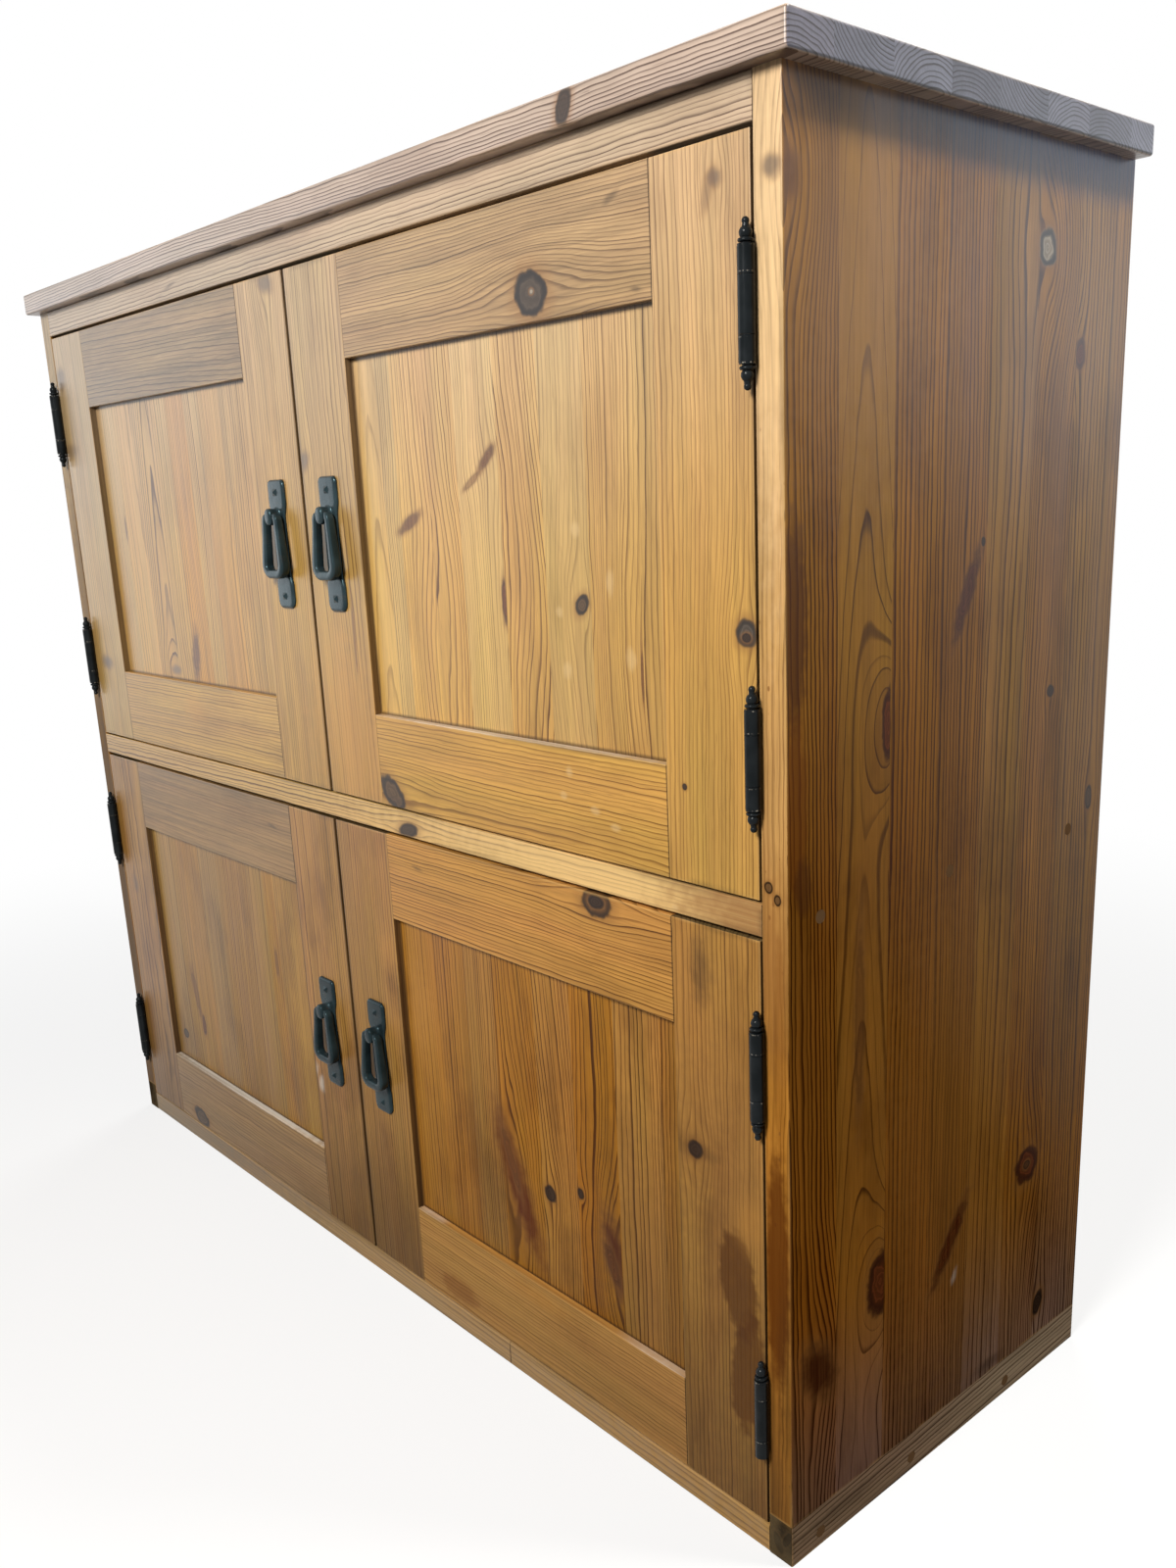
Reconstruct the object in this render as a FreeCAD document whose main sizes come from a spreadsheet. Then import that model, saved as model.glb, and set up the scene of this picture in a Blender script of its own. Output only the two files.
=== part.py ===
import FreeCAD, Part
import math
import os
import re
import Sketcher

# A low, wide pine cupboard: a dowelled carcass, four inset framed doors on finial hinges, and
# an iron bail pull on each door. X runs to the right, Y to the back and Z up. The origin is on
# the floor, under the middle of the carcass.

# Driving sizes in millimetres
SIZES = {
    # Carcass
    "carcass_width": 1200.0,
    "carcass_depth": 412.0,
    "carcass_height": 1044.5,
    "side_thickness": 23.5,
    "base_rail_height": 36.0,
    "bottom_thickness": 24.0,
    "middle_thickness": 24.0,
    "top_rail_height": 27.5,
    "top_rail_depth": 48.0,
    "top_thickness": 22.5,
    "top_side_overhang": 14.5,
    "top_front_overhang": 12.0,
    "top_round": 2.5,
    "board_round": 1.2,
    "back_thickness": 6.0,
    "back_rebate": 10.0,
    "back_play": 0.5,
    # Dowels, shelves and pegs
    "dowel_radius": 5.0,
    "dowel_length": 50.0,
    "top_dowel_depth": 15.0,
    "base_dowel_depth": 20.0,
    "blind_wall": 6.0,
    "wood_fit": 0.1,
    "shelf_thickness": 18.0,
    "shelf_setback": 60.0,
    "shelf_play": 1.5,
    "peg_radius": 3.0,
    "peg_depth": 10.0,
    "peg_reach": 12.0,
    "peg_inset": 40.0,
    # Doors
    "door_thickness": 22.0,
    "centre_gap": 4.2,
    "door_top_gap": 3.0,
    "door_bottom_gap": 2.0,
    "hinge_stile_width": 89.0,
    "meeting_stile_width": 93.0,
    "rail_height": 84.5,
    "door_round": 0.8,
    "panel_thickness": 9.0,
    "panel_recess": 6.5,
    "panel_tongue": 9.0,
    "panel_play": 2.0,
    "tenon_length": 45.0,
    "tenon_shoulder": 16.0,
    # Hinges
    "hinge_inset": 99.0,
    "barrel_radius": 5.5,
    "barrel_length": 66.0,
    "barrel_clearance": 0.3,
    "knuckle_end": 15.7,
    "knuckle_gap": 0.3,
    "pin_radius": 2.2,
    "pin_clearance": 0.05,
    "pin_stub": 5.0,
    "finial_height": 16.5,
    "leaf_thickness": 1.6,
    "leaf_width": 18.0,
    "leaf_play": 0.2,
    "leaf_sink": 0.7,
    "screw_radius": 1.5,
    "screw_head_radius": 2.8,
    "screw_length": 15.0,
    "screw_inset": 9.0,
    # Bail pulls
    "handle_drop": 2.0,
    "plate_height": 122.0,
    "plate_end_width": 31.0,
    "plate_waist_width": 24.0,
    "plate_end_height": 23.0,
    "plate_taper_height": 13.0,
    "plate_thickness": 3.0,
    "plate_corner": 4.0,
    "plate_sweep": 12.0,
    "plate_round": 1.2,
    "post_radius": 7.0,
    "post_wall": 2.5,
    "post_rise": 27.0,
    "post_round": 2.0,
    "nail_inset": 12.0,
    "nail_head": 7.5,
    "nail_tip": 1.2,
    "nail_head_height": 2.6,
    "nail_radius": 1.5,
    "nail_length": 14.0,
    "bail_radius": 3.4,
    "bail_drop": 54.5,
    "bail_play": 0.8,
    "bail_splay": 3.6,
    "bail_corner": 8.0,
    "bail_reach": 10.0,
    "stub_radius": 2.0,
    "stub_depth": 5.0,
    # Catches
    "catch_width": 40.0,
    "catch_depth": 15.0,
    "catch_height": 13.0,
    "catch_gap": 0.3,
    "strike_width": 30.0,
    "strike_height": 8.0,
    "strike_thickness": 1.2,
    "strike_inset": 1.0,
    "strike_pin_radius": 1.2,
    "strike_pin_length": 10.0,
    # Every cut runs this far past an open face
    "overrun": 1.0,
}

# Sums of the driving sizes that more than one piece uses
SUMS = {
    "front": "-carcass_depth / 2",
    "half_width": "carcass_width / 2",
    "inner_half": "half_width - side_thickness",
    "side_x": "half_width - side_thickness / 2",
    "inner_width": "2 * inner_half",
    "side_height": "carcass_height - base_rail_height",
    "board_depth": "carcass_depth - back_thickness",
    "boards_height": "top_rail_height + bottom_thickness + middle_thickness",
    "opening_height": "(carcass_height - boards_height) / 2",
    "middle_bottom": "bottom_thickness + opening_height",
    "lower_bottom": "bottom_thickness",
    "upper_bottom": "middle_bottom + middle_thickness",
    "bottom_level": "bottom_thickness / 2",
    "middle_level": "middle_bottom + middle_thickness / 2",
    "top_rail_level": "carcass_height - top_rail_height / 2",
    "top_rail_y": "front + top_rail_depth / 2",
    "hole_radius": "dowel_radius + wood_fit",
    "blind_seat": "side_thickness - blind_wall",
    "shelf_depth": "board_depth - shelf_setback - shelf_play",
    "shelf_front": "front + shelf_setback",
    "shelf_rise": "(opening_height - shelf_thickness) / 2",
    "peg_hole": "peg_radius + wood_fit",
    "hinge_gap": "2 * (leaf_thickness - leaf_sink) + leaf_play",
    "door_width": "(inner_width - centre_gap) / 2 - hinge_gap",
    "door_height": "opening_height - door_top_gap - door_bottom_gap",
    "door_rise": "door_bottom_gap + door_height / 2",
    "door_y": "front + door_thickness / 2",
    "rail_length": "door_width - hinge_stile_width - meeting_stile_width",
    "hinge_stile_x": "inner_half - hinge_gap - hinge_stile_width / 2",
    "meeting_stile_x": "(centre_gap + meeting_stile_width) / 2",
    "rail_x": "centre_gap / 2 + meeting_stile_width + rail_length / 2",
    "rail_rise": "(door_height - rail_height) / 2",
    "tenon_height": "rail_height - 2 * tenon_shoulder",
    "panel_width": "rail_length + 2 * panel_tongue",
    "panel_height": "door_height - 2 * rail_height + 2 * panel_tongue",
    "panel_y": "panel_recess + (panel_thickness - door_thickness) / 2",
    "groove_depth": "panel_tongue + panel_play",
    "hinge_x": "inner_half - hinge_gap / 2",
    "axis_reach": "barrel_radius + barrel_clearance",
    "hinge_y": "front - axis_reach",
    "hinge_rise": "door_height / 2 - hinge_inset",
    "knuckle_rise": "(barrel_length - knuckle_end) / 2",
    "knuckle_middle": "barrel_length - 2 * (knuckle_end + knuckle_gap)",
    "pin_bore": "pin_radius + pin_clearance",
    "leaf_x": "(leaf_play + leaf_thickness) / 2",
    "leaf_y": "axis_reach + leaf_width / 2",
    "screw_hole": "screw_radius + wood_fit",
    "screw_spread": "barrel_length / 2 - screw_inset",
    "plate_waist_rise": "plate_height / 2 - plate_end_height - plate_taper_height",
    "plate_end_rise": "(plate_height - plate_end_height) / 2",
    "nail_rise": "plate_height / 2 - nail_inset",
    "nail_hole": "nail_radius + wood_fit",
    "post_reach": "bail_reach + stub_radius + post_wall",
    "bail_top_half": "post_radius + bail_play + bail_radius",
    "bail_bottom_half": "bail_top_half + bail_splay",
    "strike_drop": "strike_inset + strike_height / 2",
    "catch_y": "front + door_thickness + strike_thickness + catch_gap + catch_depth / 2",
}

# Places along the depth, from the front face, as shares of the carcass's depth
MIDDLE_DOWEL_SHARES = (0.083, 0.454, 0.871)
BOTTOM_DOWEL_SHARES = (0.083, 0.37, 0.715)
UPRIGHT_DOWEL_SHARES = (0.22, 0.55, 0.88)

# Turned finial: heights as shares of its height, radii as shares of the hinge barrel's radius
COLLAR_TOP_SHARE = 0.075
COLLAR_RADIUS_SHARE = 0.96
NECK_TOP_SHARE = 0.36
NECK_RADIUS_SHARE = 0.6
RING_HEIGHT_SHARE = 0.2
RING_RADIUS_SHARE = 0.7
RING_SECTION_SHARE = 0.22
BALL_HEIGHT_SHARE = 0.45
BALL_RADIUS_SHARE = 0.76
STEM_BOTTOM_SHARE = 0.55
STEM_BOTTOM_RADIUS_SHARE = 0.5
STEM_TOP_RADIUS_SHARE = 0.32
BEAD_RADIUS_SHARE = 0.44

LEFT, RIGHT = -1, 1
HANDS = {LEFT: "left", RIGHT: "right"}
ENDS = (-1, 1)
LEVELS = ("upper", "lower")
SCREW_ROWS = (-1, 0, 1)
# The lowest hinge on the right has lost its lower finial
LOST_FINIAL = ("lower", RIGHT, -1, -1)

VECTOR = FreeCAD.Vector
TURNS = {
    "x": FreeCAD.Rotation(VECTOR(0, 1, 0), 90),
    "-x": FreeCAD.Rotation(VECTOR(0, 1, 0), -90),
    "y": FreeCAD.Rotation(VECTOR(1, 0, 0), -90),
    "z": FreeCAD.Rotation(),
}
STAND_UP = FreeCAD.Rotation(VECTOR(1, 0, 0), 90)
HALF_TURN = FreeCAD.Rotation(VECTOR(0, 1, 0), 180)
UPSIDE_DOWN = FreeCAD.Rotation(VECTOR(1, 0, 0), 180)
INWARD = {LEFT: TURNS["x"], RIGHT: TURNS["-x"]}
OUTWARD = {LEFT: TURNS["-x"], RIGHT: TURNS["x"]}
ORIGIN = ("0", "0", "0")
NEAR = 1e-4

doc = FreeCAD.newDocument("cupboard")
pieces = []


def fill_sheet():
    """One row per driving size: its name, and its value under that name."""
    sheet = doc.addObject("Spreadsheet::Sheet", "sizes")
    for row, (name, value) in enumerate(SIZES.items(), start=1):
        sheet.set(f"A{row}", name)
        sheet.set(f"B{row}", str(value))
        sheet.setAlias(f"B{row}", name)
    doc.recompute()


def cells(text):
    """A sum of size names as an expression on the sheet's cells."""
    def cell(match):
        name = match.group()
        if name in SUMS:
            return f"({cells(SUMS[name])})"
        return f"sizes.{name}"
    return re.sub(r"[a-z_]+", cell, text)


def amount(text):
    """The present value of a sum of size names."""
    return doc.sizes.evalExpression(cells(text))


def bind(item, **sizes):
    for name, text in sizes.items():
        item.setExpression(name, cells(text))


def put(item, place, turn=TURNS["z"]):
    item.Placement.Rotation = turn
    for axis, text in zip("xyz", place):
        item.setExpression(f"Placement.Base.{axis}", cells(text))


def keep(item, label):
    """List an object as a piece of the cupboard."""
    item.Label = label
    pieces.append(item)
    return item


def new_body(label, place=ORIGIN):
    body = doc.addObject("PartDesign::Body", label)
    put(body, place)
    return body


def new_piece(label, place):
    return keep(new_body(label, place), label)


def block(body, name, size, centre, kind="Additive"):
    """A box by its size and centre, added to the body or cut from it."""
    box = body.newObject(f"PartDesign::{kind}Box", f"{body.Name}_{name}")
    bind(box, **dict(zip(("Length", "Width", "Height"), size)))
    put(box, [f"{middle} - ({length}) / 2" for middle, length in zip(centre, size)])


def rod(body, name, radius, length, centre, axis, kind="Additive"):
    """A round bar by its centre and the axis that it lies along, added or cut."""
    bar = body.newObject(f"PartDesign::{kind}Cylinder", f"{body.Name}_{name}")
    bind(bar, Radius=radius, Height=length)
    start = list(centre)
    start["xyz".index(axis)] += f" - ({length}) / 2"
    put(bar, start, TURNS[axis])


def pocket(body, name, size, centre):
    block(body, name, size, centre, "Subtractive")


def hole(body, name, radius, length, centre, axis):
    rod(body, name, radius, length, centre, axis, "Subtractive")


def along(axis):
    """Picks the straight edges that run along an axis."""
    def picked(edge):
        way = edge.tangentAt(edge.FirstParameter)
        return abs(getattr(way, axis)) > 1 - NEAR
    return picked


def at_level(axis, place):
    """Picks the edges that lie at one place along an axis."""
    level = amount(place)
    def picked(edge):
        low = getattr(edge.BoundBox, f"{axis.upper()}Min")
        high = getattr(edge.BoundBox, f"{axis.upper()}Max")
        return abs(low - level) < NEAR and abs(high - level) < NEAR
    return picked


def ease(body, radius, pick=lambda edge: True):
    """Round the picked edges of what the body holds so far."""
    doc.recompute()
    base = body.Tip
    names = [f"Edge{n}" for n, edge in enumerate(base.Shape.Edges, start=1) if pick(edge)]
    fillet = body.newObject("PartDesign::Fillet", f"{body.Name}_ease")
    fillet.Base = (base, names)
    bind(fillet, Radius=radius)


def primitive(kind, name, place=ORIGIN, turn=TURNS["z"], **sizes):
    item = doc.addObject(f"Part::{kind}", name)
    bind(item, **sizes)
    put(item, place, turn)
    return item


def fused(name, shapes):
    whole = doc.addObject("Part::MultiFuse", name)
    whole.Shapes = shapes
    return whole


def cut(name, base, tool):
    rest = doc.addObject("Part::Cut", name)
    rest.Base = base
    rest.Tool = tool
    return rest


def copy_of(model, place, turn=TURNS["z"]):
    link = doc.addObject("App::Link", f"{model.Name}_copy")
    link.LinkedObject = model
    put(link, place, turn)
    return link


def group(label, copies):
    """Like pieces on one body, each a solid of its own."""
    whole = doc.addObject("Part::Compound", label)
    whole.Links = copies
    return keep(whole, label)


def depth_place(share):
    return f"front + {share} * carcass_depth"


# Carcass

def back_rebate(body, side, height):
    centre = (f"{-side} * (side_thickness - back_rebate + overrun) / 2",
              "(carcass_depth - back_thickness + overrun) / 2", "0")
    size = ("back_rebate + overrun", "back_thickness + overrun", f"{height} + 2 * overrun")
    pocket(body, "rebate", size, centre)


def upright_holes(body, end, height, depth):
    """Blind holes for upright dowels in the top or the bottom edge of an upright board."""
    for share in UPRIGHT_DOWEL_SHARES:
        middle = f"{end} * (({height}) - ({depth}) + overrun) / 2"
        centre = ("0", depth_place(share), middle)
        hole(body, "dowel_hole", "hole_radius", f"{depth} + overrun", centre, "z")


def cross_holes(body, shares, level):
    """Through holes for the dowels that hold the end of a cross board."""
    for share in shares:
        centre = ("0", depth_place(share), level)
        hole(body, "through_hole", "hole_radius", "side_thickness + 2 * overrun", centre, "x")


def leaf_seat(body, side, face, front_edge, middle):
    """A shallow seat for a hinge leaf, open to the front, and the holes of its screws."""
    size = ("leaf_sink + overrun", "leaf_width + overrun", "barrel_length")
    middle_x = f"{side} * ({face} - (leaf_sink - overrun) / 2)"
    middle_y = f"{front_edge} + (leaf_width - overrun) / 2"
    pocket(body, "leaf_seat", size, (middle_x, middle_y, middle))
    for row in SCREW_ROWS:
        place = (f"{side} * ({face} - screw_length / 2)", f"{front_edge} + leaf_width / 2",
                 f"{middle} + {row} * screw_spread")
        hole(body, "screw_hole", "screw_hole", "screw_length", place, "x")


def hinge_heights(level):
    return [f"{level}_bottom + door_rise + {end} * hinge_rise" for end in ENDS]


def peg_places(level):
    """Depth and height places of the pegs under one loose shelf, on each side."""
    height = f"{level}_bottom + shelf_rise - peg_radius"
    return [("shelf_front + peg_inset", height), ("shelf_front + shelf_depth - peg_inset", height)]


def side_panel(side):
    level = "base_rail_height + side_height / 2"
    body = new_piece(f"{HANDS[side]}_side", (f"{side} * side_x", "0", level))
    block(body, "board", ("side_thickness", "carcass_depth", "side_height"), ORIGIN)
    ease(body, "board_round", along("z"))
    back_rebate(body, side, "side_height")
    cross_holes(body, MIDDLE_DOWEL_SHARES, f"middle_level - ({level})")
    hole(body, "blind_hole", "hole_radius", "blind_seat + overrun",
         (f"{-side} * (blind_wall + overrun) / 2", "top_rail_y", f"top_rail_level - ({level})"), "x")
    upright_holes(body, 1, "side_height", "dowel_length - top_dowel_depth")
    upright_holes(body, -1, "side_height", "dowel_length - base_dowel_depth")
    for name in LEVELS:
        for height in hinge_heights(name):
            leaf_seat(body, -side, "side_thickness / 2", "front", f"{height} - ({level})")
        for place_y, place_z in peg_places(name):
            centre = (f"{-side} * (side_thickness - peg_depth) / 2", place_y, f"{place_z} - ({level})")
            hole(body, "peg_hole", "peg_hole", "peg_depth", centre, "x")


def base_rail(side):
    level = "base_rail_height / 2"
    body = new_body(f"{HANDS[side]}_base_rail", (f"{side} * side_x", "0", level))
    block(body, "board", ("side_thickness", "carcass_depth", "base_rail_height"), ORIGIN)
    ease(body, "board_round", along("z"))
    back_rebate(body, side, "base_rail_height")
    cross_holes(body, BOTTOM_DOWEL_SHARES, f"bottom_level - {level}")
    upright_holes(body, 1, "base_rail_height", "base_dowel_depth")
    return body


def cross_board(label, depth, thickness, level, dowel_places, seat="side_thickness"):
    """A board between the sides, with blind holes for the dowels in both its ends."""
    middle = f"front + ({depth}) / 2"
    body = new_piece(label, ("0", middle, level))
    block(body, "board", ("inner_width", depth, thickness), ORIGIN)
    ease(body, "board_round", along("x"))
    for side in HANDS:
        for place in dowel_places:
            length = f"dowel_length - ({seat}) + overrun"
            centre = (f"{side} * (inner_half + overrun - ({length}) / 2)", f"{place} - ({middle})", "0")
            hole(body, "dowel_hole", "hole_radius", length, centre, "x")


def top_board():
    size = ("carcass_width + 2 * top_side_overhang", "carcass_depth + top_front_overhang", "top_thickness")
    body = new_piece("top_board", ("0", "-top_front_overhang / 2", "carcass_height + top_thickness / 2"))
    block(body, "board", size, ORIGIN)
    ease(body, "top_round")
    for side in HANDS:
        for share in UPRIGHT_DOWEL_SHARES:
            middle_y = f"{depth_place(share)} + top_front_overhang / 2"
            centre = (f"{side} * side_x", middle_y, "(top_dowel_depth - overrun - top_thickness) / 2")
            hole(body, "dowel_hole", "hole_radius", "top_dowel_depth + overrun", centre, "z")


def back_panel():
    body = new_piece("back_panel", ("0", "(carcass_depth - back_thickness) / 2", "carcass_height / 2"))
    width = "inner_width + 2 * (back_rebate - back_play)"
    block(body, "sheet", (width, "back_thickness", "carcass_height"), ORIGIN)


def loose_shelves():
    shelf = new_body("shelf")
    block(shelf, "board", ("inner_width - 2 * shelf_play", "shelf_depth", "shelf_thickness"), ORIGIN)
    ease(shelf, "board_round", along("x"))
    middle = "shelf_rise + shelf_thickness / 2"
    group("loose_shelves", [
        copy_of(shelf, ("0", "shelf_front + shelf_depth / 2", f"{level}_bottom + {middle}"))
        for level in LEVELS])
    peg = primitive("Cylinder", "peg", Radius="peg_radius", Height="peg_depth + peg_reach")
    group("shelf_pegs", [
        copy_of(peg, (f"{side} * (inner_half + peg_depth)", *place), INWARD[side])
        for side in HANDS for level in LEVELS for place in peg_places(level)])


def dowels():
    dowel = primitive("Cylinder", "dowel", Radius="dowel_radius", Height="dowel_length")
    through = [(depth_place(share), "middle_level") for share in MIDDLE_DOWEL_SHARES]
    through += [(depth_place(share), "bottom_level") for share in BOTTOM_DOWEL_SHARES]
    feet = ("base_rail_height - base_dowel_depth", "carcass_height + top_dowel_depth - dowel_length")
    copies = []
    for side in HANDS:
        blind = (f"{side} * (half_width - blind_wall)", "top_rail_y", "top_rail_level")
        copies.append(copy_of(dowel, blind, INWARD[side]))
        copies += [copy_of(dowel, (f"{side} * half_width", *place), INWARD[side]) for place in through]
        copies += [copy_of(dowel, (f"{side} * side_x", depth_place(share), foot))
                   for share in UPRIGHT_DOWEL_SHARES for foot in feet]
    group("wood_dowels", copies)


def catches():
    catch = new_body("catch")
    block(catch, "case", ("catch_width", "catch_depth", "catch_height"), ORIGIN)
    ease(catch, "board_round", along("y"))
    rise = "opening_height - catch_height / 2"
    group("magnetic_catches", [
        copy_of(catch, (f"{side} * meeting_stile_x", "catch_y", f"{level}_bottom + {rise}"))
        for side in HANDS for level in LEVELS])


def carcass():
    for side in HANDS:
        side_panel(side)
    group("base_rails", [base_rail(side) for side in HANDS])
    top_board()
    cross_board("top_rail", "top_rail_depth", "top_rail_height", "top_rail_level",
                ["top_rail_y"], "blind_seat")
    cross_board("middle_shelf", "board_depth", "middle_thickness", "middle_level",
                [depth_place(share) for share in MIDDLE_DOWEL_SHARES])
    cross_board("bottom_board", "board_depth", "bottom_thickness", "bottom_level",
                [depth_place(share) for share in BOTTOM_DOWEL_SHARES])
    back_panel()
    loose_shelves()
    dowels()
    catches()


# Hinges

def leaf(name, side, knuckle_length, knuckle_places):
    """A leaf about the hinge axis: a plate beside the gap's middle and its rolled knuckles."""
    body = new_body(name)
    middle = f"{side} * leaf_x"
    block(body, "plate", ("leaf_thickness", "leaf_width", "barrel_length"), (middle, "leaf_y", "0"))
    for place in knuckle_places:
        tab = ("leaf_thickness", "axis_reach", knuckle_length)
        block(body, "tab", tab, (middle, "axis_reach / 2", place))
        rod(body, "knuckle", "barrel_radius", knuckle_length, ("0", "0", place), "z")
    hole(body, "bore", "pin_bore", "barrel_length + 2 * overrun", ORIGIN, "z")
    for row in SCREW_ROWS:
        head = body.newObject("PartDesign::SubtractiveCone", f"{name}_countersink")
        bind(head, Radius1="screw_head_radius + wood_fit", Radius2="screw_radius + wood_fit",
             Height="screw_head_radius - screw_radius")
        put(head, (f"{side} * leaf_play / 2", "leaf_y", f"{row} * screw_spread"), OUTWARD[side])
        hole(body, "screw_hole", "screw_hole", "leaf_thickness + overrun",
             (f"{side} * (leaf_x + overrun / 2)", "leaf_y", f"{row} * screw_spread"), "x")
    return body


def screw():
    """A countersunk screw along X, with the middle of its flat head at the origin."""
    along_x = TURNS["x"]
    head = primitive("Cone", "screw_head", turn=along_x, Radius1="screw_head_radius", Radius2="screw_radius",
                     Height="screw_head_radius - screw_radius")
    shank = primitive("Cylinder", "screw_shank", turn=along_x, Radius="screw_radius", Height="screw_length")
    return fused("screw", [head, shank])


def finial():
    """A turned finial that stands on the barrel's end, bored for the end of the pin."""
    def height(share):
        return f"{share} * finial_height"

    def radius(share):
        return f"{share} * barrel_radius"

    def up(share):
        return ("0", "0", height(share))

    bead_radius = radius(BEAD_RADIUS_SHARE)
    bead_place = f"finial_height - {bead_radius}"
    turned = fused("finial_turning", [
        primitive("Cylinder", "collar", Radius=radius(COLLAR_RADIUS_SHARE), Height=height(COLLAR_TOP_SHARE)),
        primitive("Cylinder", "neck", Radius=radius(NECK_RADIUS_SHARE), Height=height(NECK_TOP_SHARE)),
        primitive("Torus", "ring", up(RING_HEIGHT_SHARE), Radius1=radius(RING_RADIUS_SHARE),
                  Radius2=radius(RING_SECTION_SHARE)),
        primitive("Sphere", "ball", up(BALL_HEIGHT_SHARE), Radius=radius(BALL_RADIUS_SHARE)),
        primitive("Cone", "stem", up(STEM_BOTTOM_SHARE), Radius1=radius(STEM_BOTTOM_RADIUS_SHARE),
                  Radius2=radius(STEM_TOP_RADIUS_SHARE),
                  Height=f"{bead_place} - {height(STEM_BOTTOM_SHARE)}"),
        primitive("Sphere", "bead", ("0", "0", bead_place), Radius=bead_radius),
    ])
    bore = primitive("Cylinder", "finial_bore", ("0", "0", "-overrun"), Radius="pin_bore",
                     Height="pin_stub + overrun + wood_fit")
    return cut("finial", turned, bore)


def hinge_axis(level, side, end):
    return (f"{side} * hinge_x", "hinge_y", f"{level}_bottom + door_rise + {end} * hinge_rise")


def offset(place, x="0", y="0", z="0"):
    return tuple(f"{start} + {step}" for start, step in zip(place, (x, y, z)))


def side_turn(side):
    """A hinge piece for the right is turned half round to serve on the left."""
    return TURNS["z"] if side == RIGHT else HALF_TURN


def screw_places(level, side, end, way):
    """Screw heads of one leaf. The way is 1 for the carcass's leaf and -1 for the door's."""
    axis = hinge_axis(level, side, end)
    face = f"{side * way} * leaf_play / 2"
    return [offset(axis, face, "leaf_y", f"{row} * screw_spread") for row in SCREW_ROWS]


def hinges():
    """The carcass's share of the eight hinges, and the door leaf and screw that the doors copy."""
    outer = [f"{end} * knuckle_rise" for end in ENDS]
    frame_leaf = leaf("frame_leaf", RIGHT, "knuckle_end", outer)
    door_leaf = leaf("door_leaf", LEFT, "knuckle_middle", ["0"])
    leaf_screw = screw()
    top = finial()
    pins = {
        False: primitive("Cylinder", "pin", Radius="pin_radius", Height="barrel_length + 2 * pin_stub"),
        True: primitive("Cylinder", "short_pin", Radius="pin_radius", Height="barrel_length + pin_stub"),
    }
    places = [(level, side, end) for level in LEVELS for side in HANDS for end in ENDS]
    group("hinge_frame_leaves", [
        copy_of(frame_leaf, hinge_axis(*place), side_turn(place[1])) for place in places])
    group("hinge_frame_screws", [
        copy_of(leaf_screw, head, side_turn(place[1]))
        for place in places for head in screw_places(*place, 1)])
    pin_copies = []
    finial_copies = []
    for place in places:
        lost = place == LOST_FINIAL[:3]
        foot = "-barrel_length / 2" if lost else "-barrel_length / 2 - pin_stub"
        pin_copies.append(copy_of(pins[lost], offset(hinge_axis(*place), z=foot)))
        for end in ENDS:
            if (*place, end) != LOST_FINIAL:
                seat = offset(hinge_axis(*place), z=f"{end} * barrel_length / 2")
                finial_copies.append(copy_of(top, seat, TURNS["z"] if end > 0 else UPSIDE_DOWN))
    group("hinge_pins", pin_copies)
    group("hinge_finials", finial_copies)
    return door_leaf, leaf_screw


# Doors

def stile(label, side, kind, level, panel_side):
    """An upright of a door's frame, with the panel's groove and a mortise for each rail."""
    body = new_piece(label, (f"{side} * {kind}_x", "door_y", f"{level}_bottom + door_rise"))
    block(body, "board", (f"{kind}_width", "door_thickness", "door_height"), ORIGIN)
    ease(body, "door_round")
    edge = f"{panel_side} * {kind}_width / 2"
    groove = ("groove_depth + overrun", "panel_thickness", "panel_height + 2 * panel_play")
    centre = (f"{edge} - {panel_side} * (groove_depth - overrun) / 2", "panel_y", "0")
    pocket(body, "groove", groove, centre)
    for end in ENDS:
        mortise = ("tenon_length + overrun", "panel_thickness", "tenon_height")
        centre = (f"{edge} - {panel_side} * (tenon_length - overrun) / 2", "panel_y", f"{end} * rail_rise")
        pocket(body, "mortise", mortise, centre)
    return body


def rail(label, side, level, end):
    """A cross piece of a door's frame: tenons at both ends, the panel's groove on one edge."""
    place = (f"{side} * rail_x", "door_y", f"{level}_bottom + door_rise + {end} * rail_rise")
    body = new_piece(label, place)
    block(body, "board", ("rail_length", "door_thickness", "rail_height"), ORIGIN)
    ease(body, "door_round", along("x"))
    for tip in ENDS:
        centre = (f"{tip} * (rail_length + tenon_length) / 2", "panel_y", "0")
        block(body, "tenon", ("tenon_length", "panel_thickness", "tenon_height"), centre)
    groove = ("rail_length + 2 * overrun", "panel_thickness", "groove_depth + overrun")
    centre = ("0", "panel_y", f"{-end} * (rail_height - groove_depth + overrun) / 2")
    pocket(body, "groove", groove, centre)


def panel(label, side, level):
    body = new_piece(label, (f"{side} * rail_x", "door_y + panel_y", f"{level}_bottom + door_rise"))
    block(body, "board", ("panel_width", "panel_thickness", "panel_height"), ORIGIN)


def strike(label, side, level):
    """A steel plate on the door's back, with the pin that is driven into the stile."""
    middle = f"{level}_bottom + door_rise + door_height / 2 - strike_drop"
    body = new_piece(label, (f"{side} * meeting_stile_x", "front + door_thickness", middle))
    block(body, "plate", ("strike_width", "strike_thickness", "strike_height"),
          ("0", "strike_thickness / 2", "0"))
    rod(body, "pin", "strike_pin_radius", "strike_pin_length", ("0", "-strike_pin_length / 2", "0"), "y")


def handle_place(level, side):
    """Middle of a handle's plate, on the face of the meeting stile."""
    return (f"{side} * meeting_stile_x", "front", f"{level}_bottom + door_rise - handle_drop")


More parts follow.
